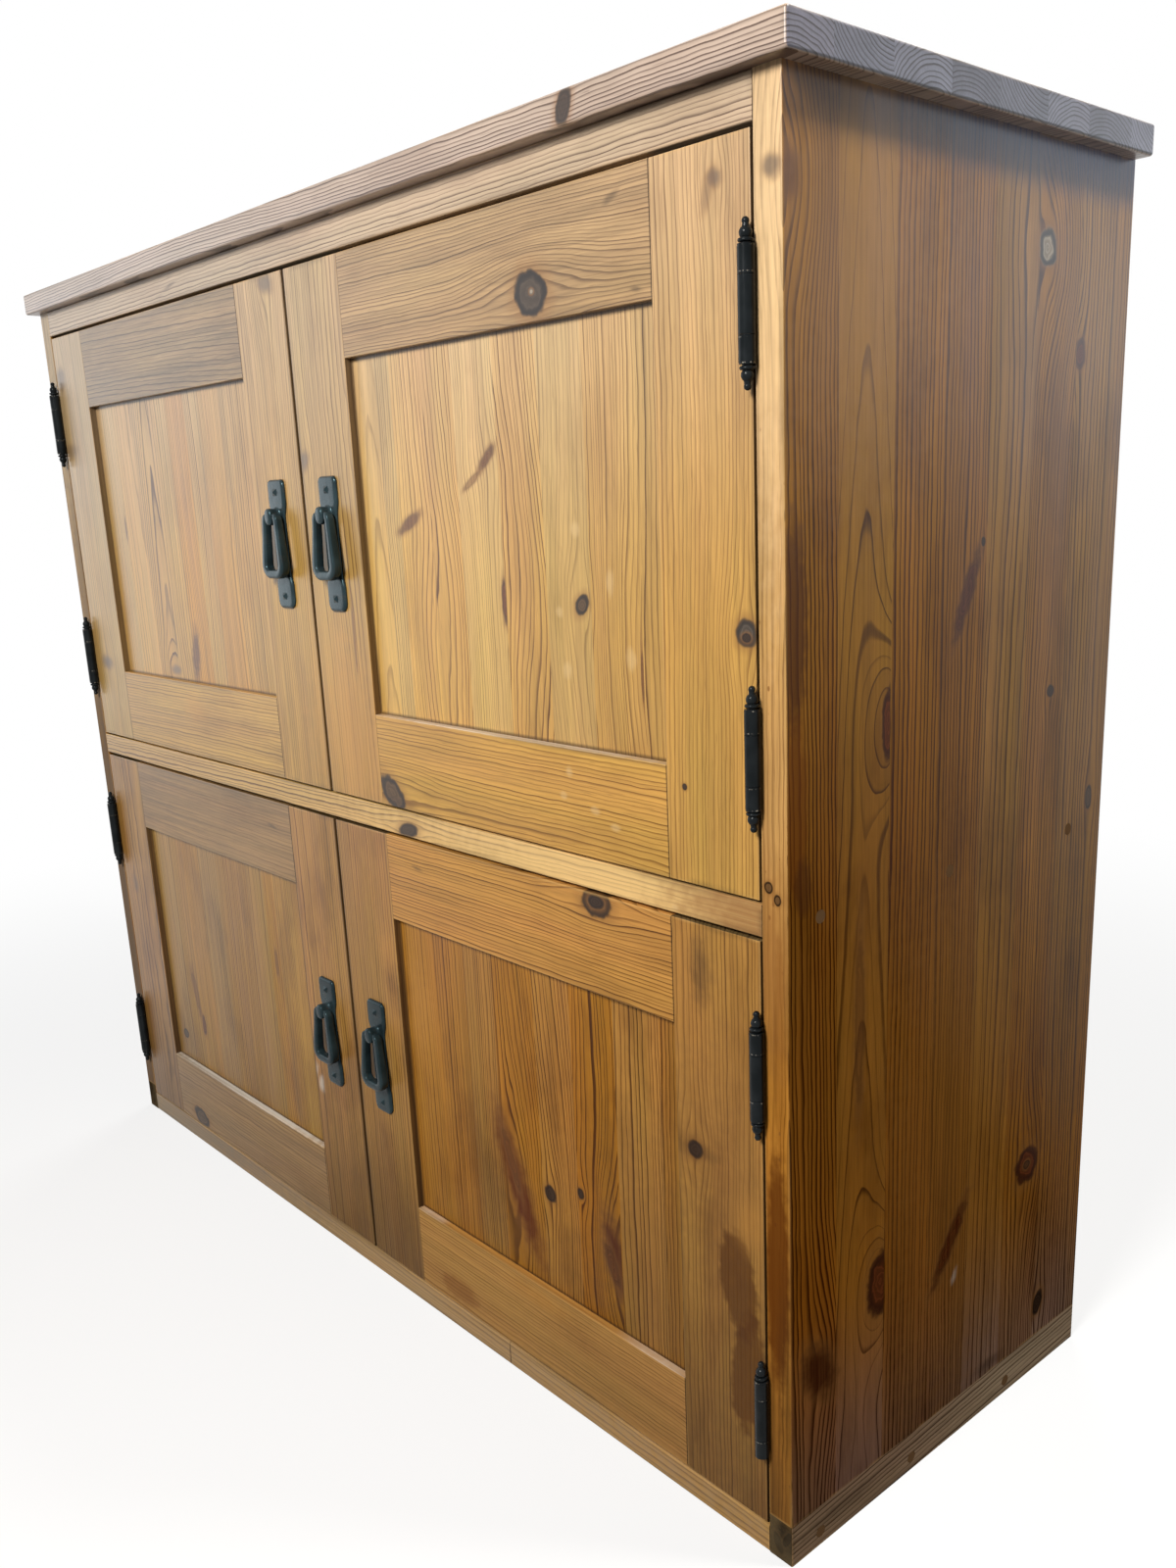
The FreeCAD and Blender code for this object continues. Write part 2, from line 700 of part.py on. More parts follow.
def plate_taper(body, end):
    """The part of the plate that narrows from its end to its waist."""
    wedge = body.newObject("PartDesign::AdditiveWedge", f"{body.Name}_taper")
    low, high = ("plate_waist_width", "plate_end_width")[::end]
    bind(wedge, Xmin=f"-{low} / 2", Xmax=f"{low} / 2", X2min=f"-{high} / 2", X2max=f"{high} / 2")
    bind(wedge, Ymin="0", Ymax="plate_taper_height")
    bind(wedge, Zmin="0", Zmax="plate_thickness", Z2min="0", Z2max="plate_thickness")
    foot = "plate_waist_rise" if end > 0 else "-plate_waist_rise - plate_taper_height"
    put(wedge, ("0", "0", foot), STAND_UP)


def handle_plate(label, side, level):
    body = new_piece(label, handle_place(level, side))
    middle = "-plate_thickness / 2"
    waist = ("plate_waist_width", "plate_thickness", "2 * plate_waist_rise")
    block(body, "waist", waist, ("0", middle, "0"))
    for end in ENDS:
        plate_taper(body, end)
        block(body, "end", ("plate_end_width", "plate_thickness", "plate_end_height"),
              ("0", middle, f"{end} * plate_end_rise"))
    across = along("y")
    paddle = amount("plate_end_rise")
    ease(body, "plate_corner", lambda edge: across(edge) and abs(edge.CenterOfMass.z) > paddle)
    ease(body, "plate_sweep", lambda edge: across(edge) and abs(edge.CenterOfMass.z) < paddle)
    ease(body, "plate_round", at_level("y", "-plate_thickness"))
    rod(body, "post", "post_radius", "post_reach", ("0", "-post_reach / 2", "post_rise"), "y")
    ease(body, "post_round", at_level("y", "-post_reach"))
    hole(body, "stub_hole", "stub_radius + pin_clearance", "2 * (post_radius + overrun)",
         ("0", "-bail_reach", "post_rise"), "x")
    for end in ENDS:
        place = ("0", middle, f"{end} * nail_rise")
        hole(body, "nail_hole", "nail_hole", "plate_thickness + 2 * overrun", place, "y")


def nail():
    """A nail along Y whose pyramid head sits on the plate's face, at the origin."""
    body = new_body("nail")
    head = body.newObject("PartDesign::AdditiveWedge", "nail_pyramid")
    wide, tip = "nail_head / 2", "nail_tip / 2"
    bind(head, Xmin=f"-{wide}", Xmax=wide, Zmin=f"-{wide}", Zmax=wide, X2min=f"-{tip}", X2max=tip,
         Z2min=f"-{tip}", Z2max=tip, Ymin="0", Ymax="nail_head_height")
    put(head, ORIGIN, UPSIDE_DOWN)
    rod(body, "shank", "nail_radius", "nail_length", ("0", "nail_length / 2", "0"), "y")
    return body


def dimension(sketch, name, constraint, text):
    """A named constraint of a sketch, set by the sheet."""
    sketch.renameConstraint(sketch.addConstraint(constraint), name)
    sketch.setExpression(f"Constraints.{name}", cells(text))


def sketch_on(body, name, role):
    sketch = body.newObject("Sketcher::SketchObject", f"{body.Name}_{name}")
    plane = next(item for item in body.Origin.OriginFeatures if item.Role == role)
    sketch.AttachmentSupport = (plane, "")
    sketch.MapMode = "FlatFace"
    return sketch


def bail_path(body):
    """From the middle of the bottom bar, round the corner and up a splayed leg to the pivot."""
    drop, corner = SIZES["bail_drop"], SIZES["bail_corner"]
    low, high = amount("bail_bottom_half"), amount("bail_top_half")
    path = sketch_on(body, "path", "XZ_Plane")
    circle = Part.Circle(VECTOR(low - corner, corner - drop, 0), VECTOR(0, 0, 1), corner)
    bar, bend, leg = path.addGeometry([
        Part.LineSegment(VECTOR(0, -drop, 0), VECTOR(low - corner, -drop, 0)),
        Part.ArcOfCircle(circle, -math.pi / 2, 0),
        Part.LineSegment(VECTOR(low, corner - drop, 0), VECTOR(high, 0, 0)),
    ])
    rule = Sketcher.Constraint
    path.addConstraint([
        rule("PointOnObject", bar, 1, -2),
        rule("Horizontal", bar),
        rule("Tangent", bar, 2, bend, 1),
        rule("Tangent", bend, 2, leg, 1),
        rule("PointOnObject", leg, 2, -1),
    ])
    dimension(path, "drop", rule("DistanceY", bar, 1, -1, 1, drop), "bail_drop")
    dimension(path, "corner", rule("Radius", bend, corner), "bail_corner")
    dimension(path, "top_half", rule("DistanceX", -1, 1, leg, 2, high), "bail_top_half")
    dimension(path, "bottom_half", rule("DistanceX", -1, 1, leg, 1, low), "bail_bottom_half")
    return path


def bail_section(body):
    drop, radius = SIZES["bail_drop"], SIZES["bail_radius"]
    section = sketch_on(body, "section", "YZ_Plane")
    ring = section.addGeometry(Part.Circle(VECTOR(0, -drop, 0), VECTOR(0, 0, 1), radius))
    rule = Sketcher.Constraint
    section.addConstraint(rule("PointOnObject", ring, 3, -2))
    dimension(section, "drop", rule("DistanceY", ring, 3, -1, 1, drop), "bail_drop")
    dimension(section, "radius", rule("Radius", ring, radius), "bail_radius")
    return section


def bail(label, side, level):
    """A loop about its pivot: half of it is swept, then joined to its mirror image."""
    half = new_body(f"{label}_half")
    bar = half.newObject("PartDesign::AdditivePipe", f"{label}_bar")
    bar.Profile = bail_section(half)
    bar.Spine = bail_path(half)
    eye = half.newObject("PartDesign::AdditiveSphere", f"{label}_eye")
    bind(eye, Radius="bail_radius")
    put(eye, ("bail_top_half", "0", "0"))
    reach = "bail_top_half - post_radius + stub_depth"
    rod(half, "stub", "stub_radius", reach, (f"bail_top_half - ({reach}) / 2", "0", "0"), "x")
    mirror = doc.addObject("Part::Mirroring", f"{label}_mirror")
    mirror.Source = half
    mirror.Normal = VECTOR(1, 0, 0)
    whole = keep(fused(label, [half, mirror]), label)
    put(whole, offset(handle_place(level, side), y="-bail_reach", z="post_rise"))


def handle(name, side, level, nail_model):
    handle_plate(f"{name}_handle_plate", side, level)
    place = handle_place(level, side)
    group(f"{name}_handle_nails", [
        copy_of(nail_model, offset(place, y="-plate_thickness", z=f"{end} * nail_rise")) for end in ENDS])
    bail(f"{name}_bail", side, level)


def door(level, side, leaf_model, screw_model, nail_model):
    name = f"{level}_{HANDS[side]}"
    hinge_stile = stile(f"{name}_hinge_stile", side, "hinge_stile", level, -side)
    for end in ENDS:
        leaf_seat(hinge_stile, side, "hinge_stile_width / 2", "-door_thickness / 2", f"{end} * hinge_rise")
    meeting_stile = stile(f"{name}_meeting_stile", side, "meeting_stile", level, side)
    for end in ENDS:
        depth = "nail_length - plate_thickness + overrun"
        centre = ("0", f"({depth} - door_thickness) / 2 - overrun", f"{end} * nail_rise - handle_drop")
        hole(meeting_stile, "nail_hole", "nail_hole", depth, centre, "y")
    hole(meeting_stile, "strike_hole", "strike_pin_radius + wood_fit", "strike_pin_length",
         ("0", "(door_thickness - strike_pin_length) / 2", "door_height / 2 - strike_drop"), "y")
    rail(f"{name}_door_top_rail", side, level, 1)
    rail(f"{name}_door_bottom_rail", side, level, -1)
    panel(f"{name}_door_panel", side, level)
    strike(f"{name}_strike", side, level)
    group(f"{name}_hinge_leaves", [
        copy_of(leaf_model, hinge_axis(level, side, end), side_turn(side)) for end in ENDS])
    group(f"{name}_hinge_screws", [
        copy_of(screw_model, head, side_turn(-side))
        for end in ENDS for head in screw_places(level, side, end, -1)])
    handle(name, side, level, nail_model)


def write_parts():
    """Every object has to be sound before any file is written."""
    doc.recompute()
    faults = [item.Label for item in doc.Objects if {"Invalid", "Error"} & set(item.State)]
    faults += [piece.Label for piece in pieces if piece.Shape.isNull() or not piece.Shape.isValid()]
    if faults:
        raise RuntimeError("unsound objects: " + ", ".join(faults))
    os.makedirs("parts", exist_ok=True)
    for piece in pieces:
        piece.Shape.exportStep(f"parts/{piece.Label}.step")
        print(piece.Label, len(piece.Shape.Solids), round(piece.Shape.Volume))


fill_sheet()
carcass()
door_leaf, leaf_screw = hinges()
pyramid_nail = nail()
for door_level in LEVELS:
    for door_side in HANDS:
        door(door_level, door_side, door_leaf, leaf_screw, pyramid_nail)
write_parts()
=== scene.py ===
import math
import random
from functools import partial

import bmesh
import bpy
from mathutils import Matrix, Vector


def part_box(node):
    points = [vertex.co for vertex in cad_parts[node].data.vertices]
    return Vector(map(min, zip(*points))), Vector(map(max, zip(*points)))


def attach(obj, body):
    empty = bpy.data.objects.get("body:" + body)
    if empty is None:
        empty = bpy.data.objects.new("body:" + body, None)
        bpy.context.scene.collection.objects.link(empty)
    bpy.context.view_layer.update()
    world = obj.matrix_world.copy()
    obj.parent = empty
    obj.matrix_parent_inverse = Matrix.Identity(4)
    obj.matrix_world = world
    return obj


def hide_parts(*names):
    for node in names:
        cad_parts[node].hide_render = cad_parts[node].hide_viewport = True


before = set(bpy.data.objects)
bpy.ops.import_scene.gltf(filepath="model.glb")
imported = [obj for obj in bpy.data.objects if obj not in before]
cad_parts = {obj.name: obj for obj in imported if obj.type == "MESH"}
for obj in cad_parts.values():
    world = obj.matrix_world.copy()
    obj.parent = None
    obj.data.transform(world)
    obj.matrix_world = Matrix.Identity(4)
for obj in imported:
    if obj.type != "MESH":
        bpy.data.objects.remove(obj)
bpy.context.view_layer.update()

# A low, wide pine cupboard with four framed doors, dressed in stained pine and black iron.
# Wood is a solid field of growth rings, so that a board's faces, edges and ends agree.
# Lengths in the finishes are millimetres: across from the middle, up from the floor.

DOORS = ("upper_left", "upper_right", "lower_left", "lower_right")
CARCASS_FRONT, CARCASS_SIDE, CARCASS_TOP, DOOR_FRONT = -206, 600, 1067, -207

EARLYWOOD = (0.55, 0.322, 0.09)
LATEWOOD = (0.115, 0.048, 0.01)
KNOT_HALO = (0.22, 0.095, 0.026)
KNOT_RIM = (0.012, 0.007, 0.005)
WORN_PINE = (0.62, 0.37, 0.13)
# Grime, also used as painted shade beside door gaps and round sunk panels
GRIME_AND_SHADE = (0.045, 0.024, 0.012)
# End grain is darker, with a bluish grey painted sheen
END_GRAIN_AND_SHEEN = (0.22, 0.34, 0.66)
STAIN_CLOUD = (0.42, 0.33, 0.26)
FOOT_DIRT = (0.075, 0.04, 0.019)

# What a mark on the pine is: its colour, how soft its edge, how strong its middle, rim and halo,
# and how far the grain parts round it
MARK_KEYS = ("core", "soft", "full", "rim", "halo", "eye")
MARKS = {
    "black_knot": ((0.02, 0.011, 0.007), 0.22, 0.95, 0.5, 0.55, 0.85),
    "brown_knot": ((0.046, 0.026, 0.014), 0.25, 0.92, 0.85, 0.5, 0.85),
    "red_knot": ((0.075, 0.018, 0.006), 0.35, 0.9, 0.45, 0.5, 0.6),
    "grey_knot": ((0.11, 0.082, 0.066), 0.6, 0.75, 0.0, 0.25, 0.7),
    "ashen_knot": ((0.26, 0.23, 0.18), 0.25, 0.75, 0.9, 0.7, 0.85),
    "slash": ((0.085, 0.028, 0.008), 0.5, 0.9, 0.2, 0.5, 0.35),
    "stain": ((0.165, 0.046, 0.005), 0.3, 0.7, 0.0, 0.0, 0.0),
    "soot": ((0.035, 0.02, 0.012), 0.8, 0.55, 0.0, 0.0, 0.0),
    # Some glows are painted light: on the rails' ledges, the side's top front and the middle shelf's front
    "glow": ((0.56, 0.26, 0.055), 0.8, 0.35, 0.0, 0.0, 0.0),
    "drop": ((0.64, 0.44, 0.21), 0.55, 0.45, 0.0, 0.0, 0.0),
    # Pale smears, also used for painted highlights along the ledges
    "chalk_and_highlight": ((0.78, 0.74, 0.66), 0.45, 0.8, 0.0, 0.0, 0.0),
    "swirl": ((0.3, 0.12, 0.03), 0.9, 0.0, 0.0, 0.0, 0.0),
}


def operator(operation, swapped=False):
    """A method that adds a Math node of this operation."""
    def add_node(wire, *others):
        values = (*others, wire) if swapped else (wire, *others)
        return wire.finish.node("Math", {"operation": operation}, dict(enumerate(values)))
    return add_node


class Wire:
    """What leaves one socket. Python's operators on it add Math nodes."""

    def __init__(self, finish, socket):
        self.finish = finish
        self.socket = socket

    __add__ = __radd__ = operator("ADD")
    __mul__ = __rmul__ = operator("MULTIPLY")
    __sub__, __rsub__ = operator("SUBTRACT"), operator("SUBTRACT", True)
    __truediv__, __rtruediv__ = operator("DIVIDE"), operator("DIVIDE", True)
    __abs__, __gt__, __lt__ = operator("ABSOLUTE"), operator("GREATER_THAN"), operator("LESS_THAN")
    least, most, root = operator("MINIMUM"), operator("MAXIMUM"), operator("SQRT")
    power_of_e, part, whole = operator("EXPONENT"), operator("FRACT"), operator("FLOOR")

    def __neg__(self):
        return self * -1.0

    def other(self, output):
        return Wire(self.finish, self.socket.node.outputs[output])

    def fade(self, start, end):
        """0 at start and 1 at end, eased between them. Start may be the larger."""
        return self.finish.node("MapRange", {"interpolation_type": "SMOOTHSTEP"},
                                {0: self, 1: start, 2: end})


class Finish:
    """The nodes of one material, or of the world."""

    def __init__(self, holder):
        holder.use_nodes = True
        self.holder = holder
        self.tree = holder.node_tree
        self.tree.nodes.clear()

    def node(self, kind, settings, inputs, output=0):
        """A new node: its settings first, then the values or wires of its sockets."""
        made = self.tree.nodes.new("ShaderNode" + kind)
        for name, value in settings.items():
            if name == "stops":
                made.color_ramp.interpolation = value[0]
                steps = made.color_ramp.elements
                while len(steps) < len(value[1]):
                    steps.new(1.0)
                for step, (place, colour) in zip(steps, value[1]):
                    step.position, step.color = place, colour
            else:
                setattr(made, name, value)
        for name, value in inputs.items():
            socket = made.inputs[name]
            if isinstance(value, Wire):
                self.tree.links.new(value.socket, socket)
            elif socket.type == "RGBA":
                socket.default_value = (*value[:3], 1.0)
            else:
                socket.default_value = value
        return Wire(self, made.outputs[output]) if made.outputs else None

    def mix(self, share, first, second, blend="MIX"):
        return self.node("Mix", {"data_type": "RGBA", "blend_type": blend},
                         {0: share, 6: first, 7: second}, 2)

    def vector(self, *sides):
        return self.node("CombineXYZ", {}, dict(enumerate(sides)))

    def split(self, vector, kind="XYZ"):
        first = self.node("Separate" + kind, {}, {0: vector})
        return first, first.other(1), first.other(2)

    def noise(self, vector, detail=2.0, output="Fac", rough=0.5):
        sockets = {"Vector": vector, "Scale": 1.0, "Detail": detail, "Roughness": rough}
        return self.node("TexNoise", {}, sockets, output)

    def place(self):
        """Where a point is on the piece at rest, in millimetres."""
        point = self.node("TexCoord", {}, {}, "Object")
        return self.split(self.node("VectorMath", {"operation": "SCALE"}, {0: point, "Scale": 1000}))

    def speckle(self, sizes, detail=2.0):
        """Noise of these sizes along x, y and z."""
        return self.noise(self.vector(*(side / size for side, size in zip(self.place(), sizes))), detail)

    def edge(self, sides):
        """How far a point on a face is from the board's nearest edge, for a board of these sides."""
        near = []
        for share, side in zip(self.split(self.node("TexCoord", {}, {}, "Generated")), sides):
            near.append(share.least(1.0 - share) * side)
        first, second, third = near
        return first.least(second).most(first.most(second).least(third))

    def skin(self, colour, roughness, height, strength, distance, **fixed):
        bump = self.node("Bump", {}, {"Strength": strength, "Distance": distance, "Height": height})
        sockets = {"Base Color": colour, "Roughness": roughness, "Normal": bump}
        for name, value in fixed.items():
            sockets[name.replace("_", " ").title().replace("Ior", "IOR")] = value
        shader = self.node("BsdfPrincipled", {}, sockets)
        self.node("OutputMaterial", {}, {"Surface": shader})


def new_finish(name):
    return Finish(bpy.data.materials.new(name))


# What is kept of a stave, as a share of these lowest and highest values
STAVE_KEYS = ("start", "pith", "sunk", "spacing", "slope", "tone", "red", "bold")
STAVE_LIMITS = {"sunk": (-150, 150), "spacing": (1, 13), "slope": (-0.2, 0.2), "tone": (-3, 3), "red": (-1, 1),
                "bold": (0, 2)}
PITH_REACH = 300
EDGE_STEP = 1000


def staves(seed, low, high, seams, by_hand=None):
    """The staves of a board from low to high across its grain: where each starts, where its pith
    lies, how far that is sunk, its rings' spacing and slope, its tone, and how bold its rings are."""
    draw = random.Random(seed)
    rows = []
    for number, start in enumerate([low, *seams]):
        row = {
            "start": start,
            "pith": start + draw.choice((-1, 1)) * draw.uniform(60, 200),
            "sunk": draw.uniform(20, 80),
            "spacing": draw.uniform(3.2, 5.2),
            "slope": draw.uniform(-0.012, 0.012),
            "tone": draw.uniform(-0.6, 0.6),
            "red": draw.uniform(-0.5, 0.5),
            "bold": draw.uniform(0.55, 0.95),
        }
        row.update((by_hand or {}).get(number, {}))
        rows.append(row)
    return {"low": low, "high": high, "rows": rows}


def mark(kind, x, z, wide, high, turn=0.0, only=None, push=0.0, **changes):
    """A knot, slash, stain, scuff, painted highlight or patch of painted light: its middle and half sizes in
    millimetres, its turn in degrees.
    only keeps it to one side of a seam, and push draws the rings in round it."""
    return {**dict(zip(MARK_KEYS, MARKS[kind])), "x": x, "z": z, "wide": wide, "high": high,
            "turn": math.radians(turn), "only": only, "push": push, **changes}


# Each kind of mark, in the order of the table
black_knot, brown_knot, red_knot, grey_knot, ashen_knot, slash, stain, soot, glow, drop, chalk_and_highlight, swirl = (
    partial(mark, kind) for kind in MARKS)


# Painted shade: the lower doors and the sides are darker and redder than the upper front, as where less light falls
LOW_SHADE_TINT, SIDE_SHADE_TINT = (0.74, 0.54, 0.27), (0.62, 0.445, 0.19)
SIDE_FOOT_TINT, SIDE_FRONT_TINT = (1.16, 0.99, 0.74), (0.77, 0.69, 0.66)
# A side's back is tinted bluish grey as a painted sheen
SIDE_BACK_SHEEN_TINT, SIDE_FLOOR_TINT = (0.95, 1.03, 1.75), (0.66, 0.98, 6.0)
# The lower left panel and the lower stiles are painted darker as shade, and the left ones greyer as a painted sheen
LOW_LEFT_SHADE_SHEEN_TINT, LOW_STILE_SHADE_TINT, UPPER_LEFT_TINT = (0.74, 0.67, 0.52), (0.75, 0.63, 0.52), (1.02, 0.98, 0.92)
BASE_RAIL_TINT = (0.82, 0.71, 0.28)
# The painted shadow under the top's overhang on a side, the front edge's tint towards its top, and its lower part
# painted darker as shade
EAVES_SHADE, STRIP_UPPER_TINT, STRIP_LOW_SHADE_TINT = (0.027, 0.06, 0.12), (0.86, 0.82, 0.98), (0.9, 0.68, 0.3)
# Heights between which the pine is greyed towards the top as a painted sheen, dirty and, on doors, of the lower row,
# whose tint is painted light
SHEEN_GREYED, DIRTY, LOW_ROW = (700, 1040), (260, 0.0), (530, 505)
SHEEN_GREYING, SIDE_LIVELY = 0.24, 1.5
# Lengths and widths of what varies along the grain, the size of ragged rims, and how much the
# brightness follows each
DRIFT, FIBRE, STRAND, BAND, CLOUD, RIPPLE = (260, 36), (22, 0.8), (120, 2.6), (380, 11), (150, 60), (34, 14)
RAGGED = 11
MOTTLE_SHARE, FIBRE_SHARE, STRAND_SHARE, BAND_SHARE = 0.36, 0.34, 0.52, 0.42
PINE_BUMP = (0.35, 0.0006)
STREAKY_FROM, FRONT_COAT_LIMIT = 0.5, 0.75
FRONT_GLOSS, SIDE_GLOSS = (-0.118, 0.00158, -0.001), (-0.7, 0.0013, 0.0014)
TOP_GLOSS, INNER_GLOSS = (1.0, 0.0, 0.0), (0.2, 0.0, 0.0)


class Pine(Finish):
    """Stained pine on boards that share a face, a direction of grain and a size. The varnish is
    worn thin low down: gloss is its weight at the floor and how that grows per millimetre up and
    across."""

    def __init__(self, name, face, grain, planks, marks, sides, tint=(1.0, 1.0, 1.0), sway=5.0, lines=(),
                 gloss=FRONT_GLOSS, dirt=0.25, foot=0.35, low=None, sunk_edge=0.0):
        super().__init__(bpy.data.materials.new(name))
        sided = face in ("left", "right")
        early, late_colour = EARLYWOOD, LATEWOOD
        if not sided:
            early, late_colour = (tuple(a * b for a, b in zip(wood, tint)) for wood in (EARLYWOOD, LATEWOOD))
        self.x, self.y, self.z = self.place()
        self.facing = self.split(self.node("TexCoord", {}, {}, "Normal"))
        self.across, self.up, self.deep = self.face_axes(face)
        upright = grain == "up"
        self.along, self.cross = (self.up, self.across) if upright else (self.across, self.up)
        turned = (-self.facing[1]).fade(0.5, 0.7)
        if sided:
            # The front edge of a side has marks of its own, listed by their distance from the
            # cupboard's middle and this step
            self.across = self.across + turned * (abs(self.x) + EDGE_STEP - self.across)
        elif face == "top":
            # Marks go on over the top's front edge, as if it were unfolded
            self.up = self.up - turned * self.deep
        drift = self.drawn_out(DRIFT, 2.5, output="Color")
        self.swaying, self.mottle, self.warm = self.split(drift, "Color")
        fibres = self.drawn_out(FIBRE, output="Color")
        self.fibre, self.streak, self.flecks = self.split(fibres, "Color")
        strand = self.drawn_out(STRAND)
        self.streaky = (strand * 1.1 + 0.4).least(1.0)
        band = self.drawn_out(BAND)
        self.ragged = self.noise(self.vector(*(side / RAGGED for side in (self.across, self.up, self.deep)))) - 0.5
        stave = self.stave_values(planks)
        lively = SIDE_LIVELY if sided else 1.0
        late = self.rings(stave, marks, upright, sway, lively)
        seam = abs(self.cross - stave["start"]).fade(0.7, 0.1)
        if sided:
            late = late * (1.0 - turned * 0.6)
        elif face == "top":
            late = late * (1.0 - self.facing[2].fade(0.6, 0.9) * 0.5)

        end = {"up": 2, "along": 1 if sided else 0}[grain]
        sawn = abs(self.facing[end]).fade(0.6, 0.8)
        value = (stave["tone"] * (sawn * 0.5 + 0.2) + (self.mottle - 0.5) * (MOTTLE_SHARE * lively)
                 + (self.fibre - 0.5) * (FIBRE_SHARE * lively) + (strand - 0.5) * (STRAND_SHARE * lively)
                 + (band - 0.5) * BAND_SHARE + 1.0)
        hue = stave["red"] * -0.009 + (self.warm - 0.5) * -0.024 + 0.5
        wood = self.mix((late * stave["bold"] * 1.5).least(1.0), early, late_colour)
        # Painted sheen: the pine is greyer towards the top
        sheen_greyed = 1.0 - self.z.fade(*SHEEN_GREYED) * (turned * SHEEN_GREYING if sided else SHEEN_GREYING)
        vivid = sheen_greyed * (stave["red"] * 0.1 + 1.0)
        self.pine = self.node("HueSaturation", {}, {"Hue": hue, "Saturation": vivid, "Value": value, "Color": wood})
        if sided:
            self.side_shades(turned, tint)
        # The lower row of the rails is tinted as painted light: darker on the right as shade, bluer on the left as
        # sheen
        if low:
            self.paint(self.z.fade(*LOW_ROW), low, "MULTIPLY")
        self.paint(self.streak.fade(0.62, 0.78) * 0.45, late_colour)
        cloud = self.drawn_out(CLOUD, 4.0, rough=0.6)
        self.paint(cloud.fade(0.46, 0.7) * dirt, STAIN_CLOUD, "MULTIPLY")
        self.paint(seam * 0.22, GRIME_AND_SHADE)
        if foot:
            dirty = self.z.fade(*DIRTY) * (self.mottle * 0.8 + 0.6) * foot
            self.paint(dirty * turned if sided else dirty, FOOT_DIRT)
        raised = 0.0
        for spot in marks:
            if spot["full"]:
                raised = self.coloured(spot) + raised
        # Dark lines at the frame's joints, and painted shade along the gap between the doors
        for place in lines:
            shoulder = abs(abs(self.across) - place).fade(1.1, 0.2)
            self.paint(shoulder * 0.7, GRIME_AND_SHADE)
        edge = self.edge(sides)
        self.paint(edge.fade(2.6, 0.4) * self.mottle.fade(0.38, 0.62) * 0.3, WORN_PINE)
        self.paint(edge.fade(6.0, 0.0) * self.warm.fade(0.55, 0.35) * 0.35, GRIME_AND_SHADE)
        # Painted shade round a sunk panel, where it meets its frame
        if sunk_edge:
            self.paint(edge.fade(sunk_edge + 3.2, sunk_edge + 0.2) * 0.75, GRIME_AND_SHADE)
        # Painted shade on upright faces that look into the gaps
        if face == "front" and upright:
            gap_shade = abs(self.facing[0]).fade(0.6, 0.9)
            self.paint(gap_shade * 0.75, GRIME_AND_SHADE)
        self.paint(sawn * 0.8, END_GRAIN_AND_SHEEN, "MULTIPLY")
        roughness = (self.mottle - 0.5) * 0.3 + late * 0.1 + (self.flecks - 0.5) * 0.15 + 0.5
        level, per_height, per_across = gloss
        varnish = self.z * per_height + (self.y - CARCASS_FRONT if sided else self.x) * per_across + level
        varnish = (varnish * (self.warm * 0.6 + 0.7)).most(0.0).least(FRONT_COAT_LIMIT if face == "front" else 1.0)
        height = self.fibre * 0.35 + strand * 0.3 - late * 0.55 - seam * 1.2 + raised * 0.4
        self.skin(self.pine, roughness, height, *PINE_BUMP, specular_ior_level=0.0 if sided else 0.06,
                  coat_weight=varnish, coat_roughness=0.34)

    def paint(self, share, colour, blend="MIX"):
        self.pine = self.mix(share, self.pine, colour, blend)

    def side_shades(self, turned, tint):
        """Tints a side darker and redder than the front as painted shade, and paler and darker towards floor and
        front;
        paints the top's shadow under the eaves and a bluish sheen towards the back; tints the top of its front edge
        and paints it darker low down as shade; and puts in a few wormholes."""
        flat, z, depth = 1.0 - turned, self.z, self.across
        for share, shade in (
            # Painted shade: the whole side darker and redder than the front
            (flat, tint),
            (flat * z.fade(520, 120), SIDE_FOOT_TINT),
            (flat * z.fade(230, 20), SIDE_FLOOR_TINT),
            # Painted shadow of the top's overhang under the eaves
            (flat * z.fade(1000, 1040) * (depth.fade(0.0, 160) * 0.55 + 0.1), EAVES_SHADE),
            (flat * z.fade(790, 520) * depth.fade(300, 120), SIDE_FRONT_TINT),
            # Painted sheen: bluish grey towards the back
            (flat * depth.fade(100, 380) * z.fade(420, 640), SIDE_BACK_SHEEN_TINT),
            (turned * z.fade(960, 760), STRIP_UPPER_TINT),
            # Painted shade: the front edge darker and redder low down
            (turned * z.fade(640, 380), STRIP_LOW_SHADE_TINT),
        ):
            self.paint(share, shade, "MIX" if shade is EAVES_SHADE else "MULTIPLY")
        cells = self.vector(self.x / 9.0, self.y / 9.0, z / 15)
        holes = self.node("TexVoronoi", {}, {"Vector": cells, "Scale": 1.0}).fade(0.15, 0.09)
        self.paint(holes * self.mottle.fade(0.42, 0.5) * turned * 0.8, KNOT_HALO)

    def drawn_out(self, sizes, detail=2.0, **more):
        """Noise of this length along the grain and this width across it."""
        length, width = sizes
        return self.noise(self.vector(self.along / length, self.cross / width, self.deep / width), detail, **more)

    def face_axes(self, face):
        """Across, up and into the board, as seen from the face that shows most."""
        if face == "front":
            return self.x, self.z, self.y - DOOR_FRONT
        if face == "top":
            return self.x, self.y - CARCASS_FRONT, CARCASS_TOP - self.z
        return self.y - CARCASS_FRONT, self.z, CARCASS_SIDE - abs(self.x)

